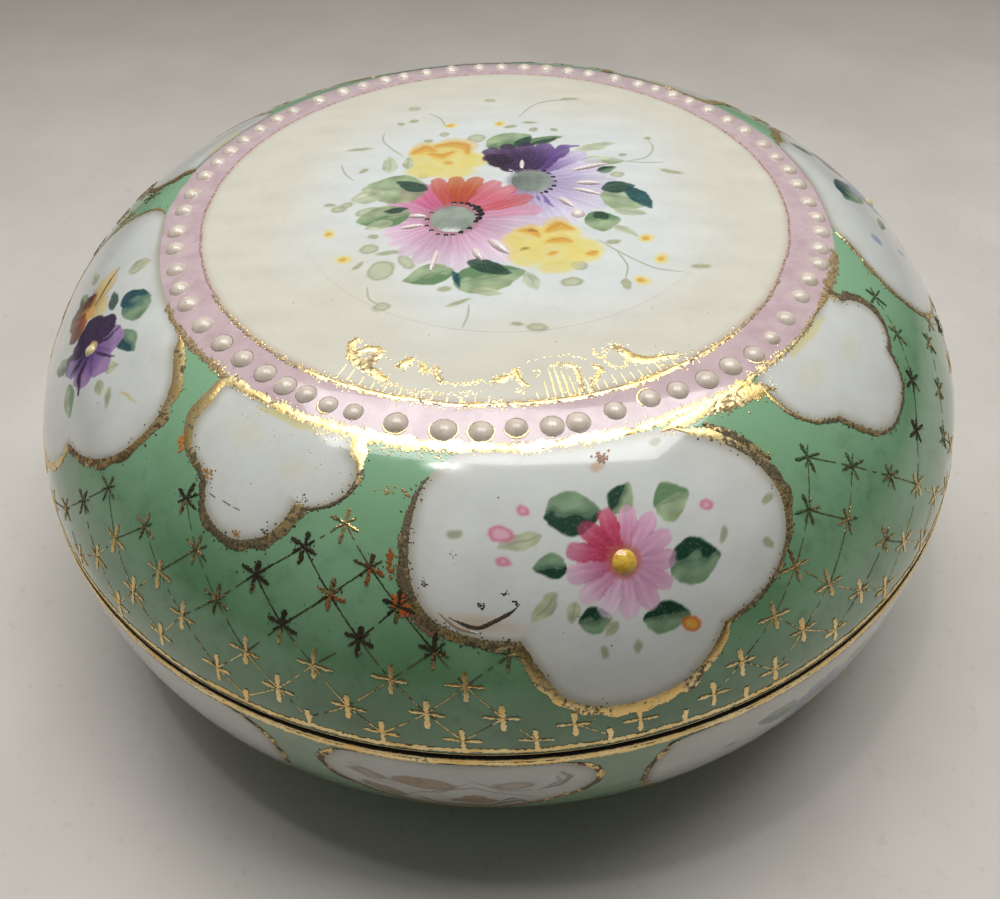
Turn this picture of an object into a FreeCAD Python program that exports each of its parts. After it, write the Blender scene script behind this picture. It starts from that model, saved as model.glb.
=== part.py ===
import FreeCAD
import Part
import math
import os

from FreeCAD import Placement, Rotation, Vector

# Round porcelain covered box. All lengths in millimetres.
# Frame: origin at the centre of the foot's underside, +Z up along the axis of revolution.
# Azimuths are measured about Z from the front (-Y) towards +X.

# Overall
LID_APEX_Z = 57.4
SEAT_Z = 31.0

# Bowl
FOOT_OUTER_R = 36.0
FOOT_INNER_R = 32.0
FOOT_EDGE_R = 0.6
FOOT_RECESS_Z = 2.5
BOWL_LIP_OUTER_R = 63.45
BOWL_LIP_R = 0.6
GALLERY_ROOT_R = 59.8
GALLERY_TOP_Z = 35.2
GALLERY_TOP_OUTER_R = 58.7
GALLERY_TOP_INNER_R = 57.1

# Outer wall of the bowl from the foot to the lip, as (radius, height)
BOWL_OUTER = [
    (36.2, 2.0),
    (40.0, 3.0),
    (48.0, 4.6),
    (54.5, 7.2),
    (58.8, 10.6),
    (61.6, 14.8),
    (62.9, 19.4),
    (63.45, 24.2),
    (63.55, 27.6),
    (BOWL_LIP_OUTER_R, SEAT_Z - BOWL_LIP_R),
]

# Inner wall of the bowl from the gallery down to the middle of the floor
BOWL_INNER = [
    (GALLERY_TOP_INNER_R, GALLERY_TOP_Z - 0.8),
    (57.7, 31.0),
    (58.9, 26.5),
    (59.2, 21.5),
    (57.9, 15.9),
    (54.0, 11.2),
    (47.5, 8.4),
    (38.0, 6.8),
    (20.0, 5.9),
    (0.0, 5.7),
]

# Lid
LID_LIP_OUTER_R = 63.25
LID_LIP_R = 0.65
LID_LIP_INNER_R = 60.3
LID_LIP_INNER_EDGE_R = 0.4

# Outer surface of the lid from the apex to the lip
LID_OUTER = [
    (0.0, LID_APEX_Z),
    (12.0, 57.25),
    (25.0, 56.75),
    (37.2, 55.9),
    (40.4, 55.5),
    (43.6, 54.75),
    (49.2, 52.1),
    (54.5, 48.1),
    (58.5, 43.4),
    (61.4, 38.4),
    (62.8, 34.2),
    (LID_LIP_OUTER_R, SEAT_Z + LID_LIP_R),
]

# Inner surface of the lid from the lip to the apex
LID_INNER = [
    (LID_LIP_INNER_R, SEAT_Z + LID_LIP_INNER_EDGE_R),
    (59.7, 33.6),
    (58.2, 37.4),
    (55.6, 41.6),
    (51.8, 45.7),
    (47.2, 49.1),
    (42.0, 51.4),
    (36.5, 52.6),
    (25.0, 53.5),
    (12.0, 54.0),
    (0.0, 54.1),
]

# Border of raised enamel beads, laid by hand: sizes are (rim radius, height)
BEAD_CIRCLE_R = 40.3
BEAD_SIZES = [(0.98, 0.48), (1.1, 0.54), (1.2, 0.6), (1.3, 0.66)]
BEAD_AZIMUTHS = [
    -177.5, -171.2, -165.4, -160.3, -155.8, -150.6, -145.6, -139.5, -132.8, -128.2, -123.2, -118.2,
    -113.4, -108.8, -103.6, -97.0, -91.4, -84.4, -79.0, -72.6, -67.0, -62.1, -55.4, -49.3,
    -43.8, -38.4, -33.9, -30.0, -25.8, -21.6, -14.9, -7.9, -2.6, 2.4, 7.5, 11.3,
    17.1, 22.9, 27.6, 32.8, 37.7, 42.6, 47.6, 53.2, 59.8, 64.9, 70.2, 74.7,
    79.8, 84.4, 89.0, 95.0, 100.4, 105.4, 110.6, 116.8, 122.1, 127.6, 132.8, 137.2,
    141.6, 145.8, 151.5, 157.6, 162.4, 167.4, 172.4, 177.5,
]
BEAD_SIZE_ORDER = [
    1, 2, 1, 1, 2, 1, 2, 2, 1, 2, 1, 1, 2, 1, 2, 2, 2, 3, 2, 2, 2, 3, 3, 2,
    2, 2, 2, 1, 0, 0, 2, 3, 2, 1, 2, 2, 1, 1, 1, 2, 2, 1, 0, 1, 1, 2, 2, 2,
    2, 1, 1, 2, 2, 1, 2, 2, 1, 2, 1, 2, 1, 1, 2, 1, 1, 2, 1, 1,
]
BEAD_OFFSETS = {
    -67.0: 0.2, -55.4: -0.1, -49.3: -0.3, -43.8: -0.4, -38.4: -0.4, -33.9: -0.2, -30.0: -0.3,
    -14.9: 0.2, -7.9: 0.4, -2.6: 0.4, 7.5: 0.2, 11.3: 0.2, 17.1: -0.3, 22.9: -0.6, 27.6: -0.3,
    42.6: 0.4, 47.6: 0.3, 70.2: 0.7, 74.7: 0.6, 79.8: 0.8, 84.4: 0.7, 89.0: 0.2,
}
DAB_SINK = 0.5

# Raised eyes of the two medallion flowers, centres in plan: (centre, rim radius, height)
MEDALLION_EYES = [
    ((-5.1, -5.5), 2.95, 0.4),
    ((4.9, 2.9), 2.75, 0.34),
]
EYE_SINK = 0.25

# Raised eyes of the shoulder flowers: (azimuth in degrees, distance from the axis, rim radius, height)
SHOULDER_EYES = {
    "front_flower_eye": (12.6, 53.6, 1.25, 0.5),
    "left_flower_eye": (-67.5, 52.4, 0.85, 0.4),
    "right_flower_eye": (100.5, 54.0, 0.85, 0.4),
    "back_flower_eye": (-166.4, 53.6, 1.25, 0.5),
}

# Raised strokes on petals, in plan: (start x, start y, end x, end y, half width)
STROKE_END_R = 0.14
STROKES = [
    (-8.4, -4.8, -10.6, -4.6, 0.38),
    (-8.8, -6.6, -11.5, -7.2, 0.34),
    (-0.8, -10.0, 1.6, -13.0, 0.58),
    (-2.6, -11.9, -1.5, -14.2, 0.5),
    (-6.9, -12.1, -7.6, -15.8, 0.36),
    (10.3, 5.4, 15.2, 7.2, 0.38),
    (10.7, 2.3, 13.9, 2.1, 0.38),
    (10.3, 0.9, 13.6, -0.5, 0.36),
    (8.2, -1.2, 10.0, -3.4, 0.44),
    (3.9, 8.2, 3.8, 6.0, 0.34),
]
# Raised knob of white enamel beside the lilac flower: (centre, rim radius, height)
KNOB = ((10.4, -4.9), 0.95, 0.55)


def rz(pair):
    """Point in the XZ half plane from a (radius, height) pair."""
    return Vector(pair[0], 0.0, pair[1])


def smooth(pairs, start_tangent=None, end_tangent=None):
    """Smooth curve through (radius, height) pairs."""
    curve = Part.BSplineCurve()
    points = [rz(p) for p in pairs]
    if start_tangent is None:
        curve.interpolate(points)
    else:
        curve.interpolate(points, InitialTangent=rz(start_tangent), FinalTangent=rz(end_tangent))
    return curve


def corner(start, centre, end):
    """Quarter-round edge from start to end about a centre, all (radius, height) pairs."""
    size = math.hypot(start[0] - centre[0], start[1] - centre[1])
    mid_r = (start[0] + end[0]) / 2.0 - centre[0]
    mid_z = (start[1] + end[1]) / 2.0 - centre[1]
    reach = math.hypot(mid_r, mid_z)
    middle = (centre[0] + mid_r * size / reach, centre[1] + mid_z * size / reach)
    return Part.Arc(rz(start), rz(middle), rz(end)).toShape()


def line(start, end):
    """Straight edge between two (radius, height) pairs."""
    return Part.LineSegment(rz(start), rz(end)).toShape()


def turned(edges):
    """Solid of revolution about Z from a closed list of edges."""
    face = Part.Face(Part.Wire(edges))
    return face.revolve(Vector(0, 0, 0), Vector(0, 0, 1), 360)


def lid_outer_curve():
    return smooth(LID_OUTER, (1.0, 0.0), (0.1, -1.0))


def make_base_bowl():
    """Bowl with foot ring, flat seat for the lid and raised inner gallery."""
    e = FOOT_EDGE_R
    lip = BOWL_LIP_R
    outer_start = BOWL_OUTER[0]
    outer_end = BOWL_OUTER[-1]
    seat_outer = (BOWL_LIP_OUTER_R - lip, SEAT_Z)
    seat_inner = (GALLERY_ROOT_R, SEAT_Z)
    gallery_outer = (GALLERY_TOP_OUTER_R, GALLERY_TOP_Z - 0.8)
    gallery_mid = ((GALLERY_TOP_OUTER_R + GALLERY_TOP_INNER_R) / 2.0, GALLERY_TOP_Z)
    gallery_inner = BOWL_INNER[0]
    recess_edge = (FOOT_INNER_R - 2.4, FOOT_RECESS_Z)
    edges = [
        line((0.0, FOOT_RECESS_Z), recess_edge),
        line(recess_edge, (FOOT_INNER_R, e)),
        corner((FOOT_INNER_R, e), (FOOT_INNER_R + e, e), (FOOT_INNER_R + e, 0.0)),
        line((FOOT_INNER_R + e, 0.0), (FOOT_OUTER_R - e, 0.0)),
        corner((FOOT_OUTER_R - e, 0.0), (FOOT_OUTER_R - e, e), (FOOT_OUTER_R, e)),
        line((FOOT_OUTER_R, e), outer_start),
        smooth(BOWL_OUTER, (1.0, 0.12), (-0.08, 1.0)).toShape(),
        corner(outer_end, (outer_end[0] - lip, outer_end[1]), seat_outer),
        line(seat_outer, seat_inner),
        line(seat_inner, gallery_outer),
        Part.Arc(rz(gallery_outer), rz(gallery_mid), rz(gallery_inner)).toShape(),
        smooth(BOWL_INNER, (0.1, -1.0), (-1.0, 0.0)).toShape(),
        line(BOWL_INNER[-1], (0.0, FOOT_RECESS_Z)),
    ]
    return turned(edges)


def make_lid_shell():
    """Hollow domed lid with a rounded lip that rests on the bowl's seat."""
    lip = LID_LIP_R
    inner_edge = LID_LIP_INNER_EDGE_R
    outer_end = LID_OUTER[-1]
    inner_start = LID_INNER[0]
    seat_outer = (outer_end[0] - lip, SEAT_Z)
    seat_inner = (inner_start[0] + inner_edge, SEAT_Z)
    edges = [
        lid_outer_curve().toShape(),
        corner(outer_end, (outer_end[0] - lip, outer_end[1]), seat_outer),
        line(seat_outer, seat_inner),
        corner(seat_inner, (seat_inner[0], inner_start[1]), inner_start),
        smooth(LID_INNER, (-0.15, 1.0), (-1.0, 0.0)).toShape(),
        line(LID_INNER[-1], LID_OUTER[0]),
    ]
    return turned(edges)


def lid_frame(radius, azimuth_deg):
    """Point and outward normal of the lid's outer surface."""
    curve = lid_outer_curve()
    low = curve.FirstParameter
    high = curve.LastParameter
    for _ in range(60):
        middle = (low + high) / 2.0
        if curve.value(middle).x < radius:
            low = middle
        else:
            high = middle
    here = curve.value(low)
    along = curve.tangent(low)[0]
    angle = math.radians(azimuth_deg)
    out = Vector(math.sin(angle), -math.cos(angle), 0.0)
    point = out * here.x + Vector(0, 0, here.z)
    normal = out * (-along.z) + Vector(0, 0, along.x)
    return point, normal


def polar(x, y):
    """(distance from the axis, azimuth in degrees) of a plan position."""
    return math.hypot(x, y), math.degrees(math.atan2(x, -y))


def dab(rim_radius, height, sink):
    """Domed dab of enamel, its rim on Z = 0, continued a little below it."""
    ball = (rim_radius ** 2 + height ** 2) / (2.0 * height)
    centre_z = height - ball
    foot_r = math.sqrt(ball ** 2 - (sink + centre_z) ** 2)
    tilt = (math.pi / 2.0 + math.atan2(-sink - centre_z, foot_r)) / 2.0
    middle = (ball * math.cos(tilt), centre_z + ball * math.sin(tilt))
    edges = [
        line((0.0, -sink), (foot_r, -sink)),
        Part.Arc(rz((foot_r, -sink)), rz(middle), rz((0.0, height))).toShape(),
        line((0.0, height), (0.0, -sink)),
    ]
    return turned(edges)


def settle(blob, point, normal, lid):
    """Place a dab on the lid and trim away what would be inside the porcelain."""
    blob = blob.copy()
    blob.Placement = Placement(point, Rotation(Vector(0, 0, 1), normal))
    return blob.cut(lid).Solids[0]


def make_bead_border(lid):
    """Ring of separate enamel beads."""
    masters = {}
    beads = []
    for azimuth, size in zip(BEAD_AZIMUTHS, BEAD_SIZE_ORDER):
        radius = BEAD_CIRCLE_R + BEAD_OFFSETS.get(azimuth, 0.0)
        if (size, radius) not in masters:
            rim_radius, height = BEAD_SIZES[size]
            point, normal = lid_frame(radius, 0.0)
            masters[(size, radius)] = settle(dab(rim_radius, height, DAB_SINK), point, normal, lid)
        bead = masters[(size, radius)].copy()
        bead.rotate(Vector(0, 0, 0), Vector(0, 0, 1), azimuth)
        beads.append(bead)
    return Part.makeCompound(beads)


def make_eye(azimuth, radius, rim_radius, height, lid):
    """Low dome of enamel in the middle of a flower."""
    point, normal = lid_frame(radius, azimuth)
    return settle(dab(rim_radius, height, EYE_SINK), point, normal, lid)


def make_medallion_eyes(lid):
    """Eyes of the two large flowers on top."""
    eyes = []
    for centre, rim_radius, height in MEDALLION_EYES:
        radius, azimuth = polar(centre[0], centre[1])
        eyes.append(make_eye(azimuth, radius, rim_radius, height, lid))
    return Part.makeCompound(eyes)


def on_lid(x, y):
    """Point of the lid's outer surface above a plan position."""
    radius, azimuth = polar(x, y)
    return lid_frame(radius, azimuth)[0]


def make_petal_enamel(lid):
    """Raised strokes and one knob of white enamel laid on the petals."""
    dabs = []
    for x0, y0, x1, y1, half_width in STROKES:
        start = on_lid(x0, y0)
        along = on_lid(x1, y1) - start
        length = along.Length
        bulge = (half_width, length * 0.6)
        edges = [
            line((0.0, 0.0), (STROKE_END_R, 0.0)),
            Part.Arc(rz((STROKE_END_R, 0.0)), rz(bulge), rz((STROKE_END_R, length))).toShape(),
            line((STROKE_END_R, length), (0.0, length)),
            line((0.0, length), (0.0, 0.0)),
        ]
        dabs.append(settle(turned(edges), start, along, lid))
    centre, rim_radius, height = KNOB
    radius, azimuth = polar(centre[0], centre[1])
    dabs.append(make_eye(azimuth, radius, rim_radius, height, lid))
    return Part.makeCompound(dabs)


def main():
    os.makedirs("parts", exist_ok=True)
    lid = make_lid_shell()
    nodes = {
        "base_bowl": make_base_bowl(),
        "lid_shell": lid,
        "lid_bead_border": make_bead_border(lid),
        "medallion_petal_enamel": make_petal_enamel(lid),
        "medallion_flower_eyes": make_medallion_eyes(lid),
    }
    for name, (azimuth, radius, rim_radius, height) in SHOULDER_EYES.items():
        nodes[name] = make_eye(azimuth, radius, rim_radius, height, lid)
    for name, shape in nodes.items():
        shape.exportStep("parts/" + name + ".step")
        volume = sum(solid.Volume for solid in shape.Solids)
        sound = all(solid.isValid() for solid in shape.Solids)
        print(name, len(shape.Solids), "solids", round(volume, 2), "mm3", "valid", sound)


main()
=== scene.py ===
import math

import bpy
import numpy as np
from mathutils import Matrix, Vector


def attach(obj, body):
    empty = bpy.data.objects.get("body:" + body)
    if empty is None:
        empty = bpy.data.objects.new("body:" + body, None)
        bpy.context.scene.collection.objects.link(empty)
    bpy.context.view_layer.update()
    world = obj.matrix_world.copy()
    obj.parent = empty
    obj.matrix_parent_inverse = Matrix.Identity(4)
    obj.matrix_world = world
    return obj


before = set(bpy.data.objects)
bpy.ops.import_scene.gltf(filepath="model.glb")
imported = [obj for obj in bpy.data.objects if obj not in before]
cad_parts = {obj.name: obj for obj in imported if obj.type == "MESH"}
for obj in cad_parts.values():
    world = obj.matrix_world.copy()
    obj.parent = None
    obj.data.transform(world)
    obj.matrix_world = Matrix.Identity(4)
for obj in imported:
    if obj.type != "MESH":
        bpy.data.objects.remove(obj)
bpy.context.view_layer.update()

MM = 0.001

# ---------------------------------------------------------------------------
# Turned surfaces. Pairs are (radius, height) in mm, as in the solid model.
# ---------------------------------------------------------------------------
LID_PAIRS = [
    (0.0, 57.4), (12.0, 57.25), (25.0, 56.75), (37.2, 55.9), (40.4, 55.5), (43.6, 54.75),
    (49.2, 52.1), (54.5, 48.1), (58.5, 43.4), (61.4, 38.4), (62.8, 34.2), (63.25, 31.65),
]
BOWL_PAIRS = [
    (63.45, 30.4), (63.55, 27.6), (63.45, 24.2), (62.9, 19.4), (61.6, 14.8), (58.8, 10.6),
    (54.5, 7.2), (48.0, 4.6), (40.0, 3.0), (36.2, 2.0),
]
# Edges of the pink band, as distances from the axis in mm
BAND_IN = 37.2
BAND_OUT = 42.6
# Directions that an outline is stored by
DIRECTIONS = np.linspace(-math.pi, math.pi, 1080, endpoint=False)


class Profile:
    """Smooth outline through (radius, height) pairs, read by distance along it in mm."""

    def __init__(self, pairs, start, end):
        p = np.array(pairs, float)
        step = np.linalg.norm(np.diff(p, axis=0), axis=1)
        knot = np.concatenate([[0.0], np.cumsum(step)])
        slope = self.slopes(p, step, np.array(start), np.array(end))
        t = np.linspace(0.0, knot[-1], 4000)
        i = np.clip(np.searchsorted(knot, t, side="right") - 1, 0, len(step) - 1)
        h = step[i][:, None]
        q = ((t - knot[i]) / step[i])[:, None]
        line = (
            p[i] * (2 * q**3 - 3 * q**2 + 1)
            + slope[i] * h * (q**3 - 2 * q**2 + q)
            + p[i + 1] * (3 * q**2 - 2 * q**3)
            + slope[i + 1] * h * (q**3 - q**2)
        )
        move = np.gradient(line, axis=0)
        move /= np.linalg.norm(move, axis=1)[:, None]
        self.s = np.concatenate([[0.0], np.cumsum(np.linalg.norm(np.diff(line, axis=0), axis=1))])
        self.r, self.z = line.T
        self.nr, self.nz = -move[:, 1], move[:, 0]
        self.length = self.s[-1]

    @staticmethod
    def slopes(p, h, start, end):
        """Slopes at the pairs that make the curvature continuous."""
        n = len(p)
        a = np.zeros((n, n))
        b = np.zeros((n, 2))
        a[0, 0] = a[-1, -1] = 1.0
        b[0] = start / np.linalg.norm(start)
        b[-1] = end / np.linalg.norm(end)
        for i in range(1, n - 1):
            a[i, i - 1] = 1 / h[i - 1]
            a[i, i] = 2 / h[i - 1] + 2 / h[i]
            a[i, i + 1] = 1 / h[i]
            b[i] = 3 * ((p[i] - p[i - 1]) / h[i - 1] ** 2 + (p[i + 1] - p[i]) / h[i] ** 2)
        return np.linalg.solve(a, b)

    def at(self, s):
        return [np.interp(s, self.s, v) for v in (self.r, self.z, self.nr, self.nz)]


LID = Profile(LID_PAIRS, (1.0, 0.0), (0.1, -1.0))
BOWL = Profile(BOWL_PAIRS, (0.08, -1.0), (-1.0, -0.12))
LID_LIP = Profile([(63.25, 31.65), (63.06, 31.19), (62.6, 31.0)], (0.0, -1.0), (-1.0, 0.0))
BOWL_LIP = Profile([(62.85, 31.0), (63.27, 30.82), (63.45, 30.4)], (1.0, 0.0), (0.0, -1.0))


def spin(profile, angle, s, lift):
    """Points in metres at an angle (radians from the front) and distance s along a profile."""
    r, z, nr, nz = profile.at(s)
    r, z = r + nr * lift, z + nz * lift
    return np.stack([r * np.sin(angle), -r * np.cos(angle), z], -1) * MM


def shoulder(profile, azimuth, s0):
    """Flat drawing coordinates (x to the right, y up the wall, in mm) about a point on the wall."""
    a0 = math.radians(azimuth)

    def place(x, y, lift=0.0):
        x, y = np.asarray(x, float), np.asarray(y, float)
        s = s0 - y
        return spin(profile, a0 + x / profile.at(s)[0], s, lift)

    return place


def on_top(x, y, lift=0.0):
    """Drawing coordinates in plan on the lid's flat top, in mm."""
    x, y = np.asarray(x, float), np.asarray(y, float)
    s = np.interp(np.hypot(x, y), LID.r, LID.s)
    return spin(LID, np.arctan2(x, -y), s, lift)


# ---------------------------------------------------------------------------
# Colours and small helpers
# ---------------------------------------------------------------------------
def rgb(*values):
    """Display colour, 0 to 255, as fractions."""
    return np.array(values, float) / 255.0


def to_linear(c):
    c = np.asarray(c, float)
    return np.where(c <= 0.04045, c / 12.92, ((c + 0.055) / 1.055) ** 2.4)


def lin(*values):
    """Display colour, 0 to 255, for a shader socket."""
    return (*to_linear(rgb(*values)), 1.0)


def ripple(x, y, seed, size):
    """Smooth waviness between about -1 and 1, with features about size across."""
    rng = np.random.default_rng(seed)
    total = 0.0
    for _ in range(7):
        a, phase = rng.uniform(0, 2 * math.pi, 2)
        k = 2 * math.pi / (size * rng.uniform(0.7, 1.7))
        total = total + np.sin(k * (x * math.cos(a) + y * math.sin(a)) + phase)
    return total / 3.2


def ramp(v, low, high):
    """Smooth step from 0 at low to 1 at high."""
    t = np.clip((v - low) / (high - low), 0.0, 1.0)
    return t * t * (3 - 2 * t)


def blend(a, b, t):
    """Colour part of the way from a to b, by one amount or one per point."""
    t = np.asarray(t, float)[..., None]
    return np.asarray(a) * (1 - t) + np.asarray(b) * t


def line_mask(distance, width):
    """Soft line: 1 where the distance is 0, fading over about width."""
    return np.exp(-((distance / width) ** 2))


# ---------------------------------------------------------------------------
# Painting: colour laid over the points of a patch, in drawing coordinates
# ---------------------------------------------------------------------------
class Painting:
    """Colours of a patch's points, with the slight waver of a brush."""

    def __init__(self, x, y, ground):
        self.x = x + 0.11 * ripple(x, y, 3, 2.6) + 0.05 * ripple(x, y, 5, 0.9)
        self.y = y + 0.11 * ripple(x, y, 4, 2.6) + 0.05 * ripple(x, y, 6, 0.9)
        self.colour = ground.copy()

    def lay(self, cover, colour):
        c = np.clip(cover, 0.0, 1.0)[:, None]
        self.colour = self.colour * (1 - c) + np.asarray(colour) * c

    def along(self, x0, y0, x1, y1):
        """Each point's part of the way along a line, its distance to the left, and the line's length."""
        ax, ay = x1 - x0, y1 - y0
        size = math.hypot(ax, ay)
        dx, dy = self.x - x0, self.y - y0
        return (dx * ax + dy * ay) / size**2, (-dx * ay + dy * ax) / size, size

    def leaf(self, x0, y0, x1, y1, half, light, dark=None, side=1, cover=0.9):
        """Leaf from base to tip with a wash of dark colour on one side."""
        t, v, size = self.along(x0, y0, x1, y1)
        tc = np.clip(t, 0.0, 1.0)
        width = half * np.sin(math.pi * tc**0.8) ** 0.75
        off = np.hypot(np.maximum(np.abs(v) - width, 0), (t - tc) * size)
        near = np.where(off > 0, off, np.maximum(np.abs(v) - width, -2.0))
        inside = ramp(-near, -0.14, 0.12)
        tone = ripple(self.x, self.y, 21, 1.8) * 0.10 + 1.0
        body = np.clip(np.asarray(light)[None, :] * tone[:, None], 0, 1)
        self.lay(inside * cover * (0.82 + 0.18 * ramp(np.abs(v), 0.3 * half, half)), body)
        if dark is not None:
            reach = v * side / half + 0.16 * ripple(self.x, self.y, 22, 2.4)
            wash = 0.35 * ramp(reach, -0.425, 0.075) + 0.6 * ramp(reach, 0.075, 0.235)
            self.lay(wash * ramp(-near, -0.05, 0.12), dark)
        vein = line_mask(v, 0.10) * inside * ramp(t, 0.02, 0.2) * ramp(0.9 - t, 0, 0.2)
        self.lay(vein * 0.35, np.asarray(light) * 0.62)

    def leaves(self, rows, shift=0.0):
        """Rows: base, tip, half width, colour, darker wash or None, side of the wash."""
        for x0, y0, x1, y1, half, light, dark, side in rows:
            self.leaf(x0 + shift, y0, x1 + shift, y1, half, light, dark, side)

    def blob(self, cx, cy, rx, ry, angle, colour, cover=0.85, soft=0.22, rim=None):
        """Rounded dab of colour, with an optional darker rim where it pooled."""
        a = math.radians(angle)
        dx, dy = self.x - cx, self.y - cy
        u = (dx * math.cos(a) + dy * math.sin(a)) / rx
        v = (-dx * math.sin(a) + dy * math.cos(a)) / ry
        d = (np.hypot(u, v) - 1) * min(rx, ry)
        self.lay(ramp(-d, -soft, soft) * cover, colour)
        if rim is not None:
            self.lay(line_mask(d + 0.10, 0.16) * 0.5, rim)

    def petal(self, cx, cy, angle, start, end, half, inner, outer, cover):
        """Petal that widens from start to a rounded end, shaded along its length."""
        a = math.radians(angle)
        x0, y0 = cx + start * math.cos(a), cy + start * math.sin(a)
        x1, y1 = cx + end * math.cos(a), cy + end * math.sin(a)
        t, v, size = self.along(x0, y0, x1, y1)
        tc = np.clip(t, 0, 1)
        width = half * (0.25 + 0.75 * np.sin(math.pi * tc**1.5 * 0.98 + 0.02)) ** 0.8
        width = width * np.sqrt(np.clip(1 - ramp(t, 0.75, 1.02), 0, 1)) ** 0.6
        off = np.hypot(np.maximum(np.abs(v) - width, 0), (t - tc) * size)
        near = np.where(off > 0, off, np.abs(v) - width)
        inside = ramp(-near, -0.12, 0.12)
        streak = 0.5 + 0.5 * np.sin(v * 9.0 + 2.0 * ripple(self.x, self.y, 31, 3.0))
        body = blend(inner, outer, ramp(t + 0.1 * ripple(self.x, self.y, 32, 2.2), 0.05, 0.9))
        body = body * (1 - 0.10 * streak * ramp(1 - t, 0.2, 0.9))[:, None]
        self.lay(inside * cover, body)
        edge = line_mask(near, 0.11) * ramp(1.05 - t, 0, 0.4)
        self.lay(edge * 0.38, np.asarray(inner) * 0.75)

    def daisy(self, cx, cy, radius, count, tones, turn=0.0, notch=0.14, seam=0.14, lean=0.0, skip=None):
        """Ring of narrow petals. tones: rows of (direction, inner colour, outer colour).

        notch: how deep the tips are cut; seam: strength of the lines between petals;
        lean: how much longer the petals on the right are; skip: directions left out.
        """
        dx, dy = self.x - cx, self.y - cy
        rho, theta = np.hypot(dx, dy), np.degrees(np.arctan2(dy, dx))
        part = rho / radius
        step = 360.0 / count
        k = np.floor((theta - turn) / step)
        local = (theta - turn) / step - k - 0.5
        vary = np.sin(k * 12.9898 + cx * 3.1) * 0.5
        middle = (k + 0.5) * step + turn
        reach = radius * (1 + 0.08 * vary + lean * np.cos(np.radians(middle)))
        reach = reach * (1 - notch * np.abs(2 * local) ** 3.2)
        tones = sorted(tones, key=lambda row: row[0])
        directions, colours = [row[0] for row in tones], np.array([row[1:] for row in tones])
        inner, outer = (
            np.stack([np.interp(middle, directions, colours[:, j, i], period=360) for i in range(3)], -1)
            for j in (0, 1)
        )
        body = blend(inner, outer, ramp(part + 0.08 * vary, 0.15, 0.95))
        body = body * (1 + 0.05 * np.sin(k * 7.31))[:, None]
        to_mm = step * math.pi / 180 * rho
        across = local * to_mm
        streak = np.sin(across * 8.5 + 3.0 * k) * 0.5 + 0.5
        body = body * (1 - 0.11 * streak * ramp(1.05 - part, 0, 0.8))[:, None]
        shine = ramp(np.sin(across * 4.3 + 1.7 * k + rho * 0.3), 0.5, 1.0) * ramp(part, 0.4, 0.8)
        body = body + (0.05 * shine)[:, None]
        inside = ramp(reach - rho, -0.12, 0.16)
        if skip is not None:
            inside = inside * (1 - ((middle % 360 > skip[0]) & (middle % 360 < skip[1])))
        self.lay(inside * 0.94 * (1 - 0.3 * ramp(part, 0.6, 1.0)), np.clip(body, 0, 1))
        line = line_mask((0.5 - np.abs(local)) * to_mm, 0.13) * ramp(rho, radius * 0.15, radius * 0.4)
        self.lay(line * inside * seam, inner * 0.8)

    def stroke(self, points, width, colour, cover=0.7):
        """Soft brush line through points, thinner at its ends."""
        p = np.array(points, float)
        best = np.full(len(self.x), 9.0)
        total = sum(math.hypot(*(b - a)) for a, b in zip(p, p[1:]))
        done = 0.0
        for a, b in zip(p, p[1:]):
            size = math.hypot(*(b - a))
            dx, dy = self.x - a[0], self.y - a[1]
            t = np.clip((dx * (b[0] - a[0]) + dy * (b[1] - a[1])) / size**2, 0, 1)
            d = np.hypot(dx - t * (b[0] - a[0]), dy - t * (b[1] - a[1]))
            along = np.clip((done + t * size) / total, 0.02, 0.98)
            best = np.minimum(best, d - 0.5 * width * (0.35 + 0.65 * np.sin(math.pi * along)))
            done += size
        self.lay(ramp(-best, -0.09, 0.07) * cover, colour)


# ---------------------------------------------------------------------------
# Meshes
# ---------------------------------------------------------------------------
def add_piece(name, verts, faces, tint, material, body):
    """Mesh object with a colour per point, riding on a body."""
    mesh = bpy.data.meshes.new(name)
    faces = np.asarray(faces, np.int32)
    sides = faces.shape[1]
    mesh.vertices.add(len(verts))
    mesh.vertices.foreach_set("co", np.asarray(verts, np.float32).ravel())
    mesh.loops.add(len(faces) * sides)
    mesh.loops.foreach_set("vertex_index", faces.ravel())
    mesh.polygons.add(len(faces))
    mesh.polygons.foreach_set("loop_start", np.arange(0, len(faces) * sides, sides, dtype=np.int32))
    mesh.polygons.foreach_set("use_smooth", np.ones(len(faces), bool))
    mesh.update(calc_edges=True)
    mesh.validate()
    layer = mesh.color_attributes.new("paint", "FLOAT_COLOR", "POINT")
    layer.data.foreach_set("color", np.asarray(tint, np.float32).ravel())
    mesh.materials.append(material)
    piece = bpy.data.objects.new(name, mesh)
    bpy.context.scene.collection.objects.link(piece)
    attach(piece, body)
    return piece


def with_alpha(colour, alpha=1.0):
    """Display colours with a last channel, which holds how worn the gold is."""
    c = to_linear(np.clip(colour, 0, 1))
    return np.concatenate([c, np.broadcast_to(np.asarray(alpha, float).reshape(-1, 1), (len(c), 1))], 1)


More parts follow.
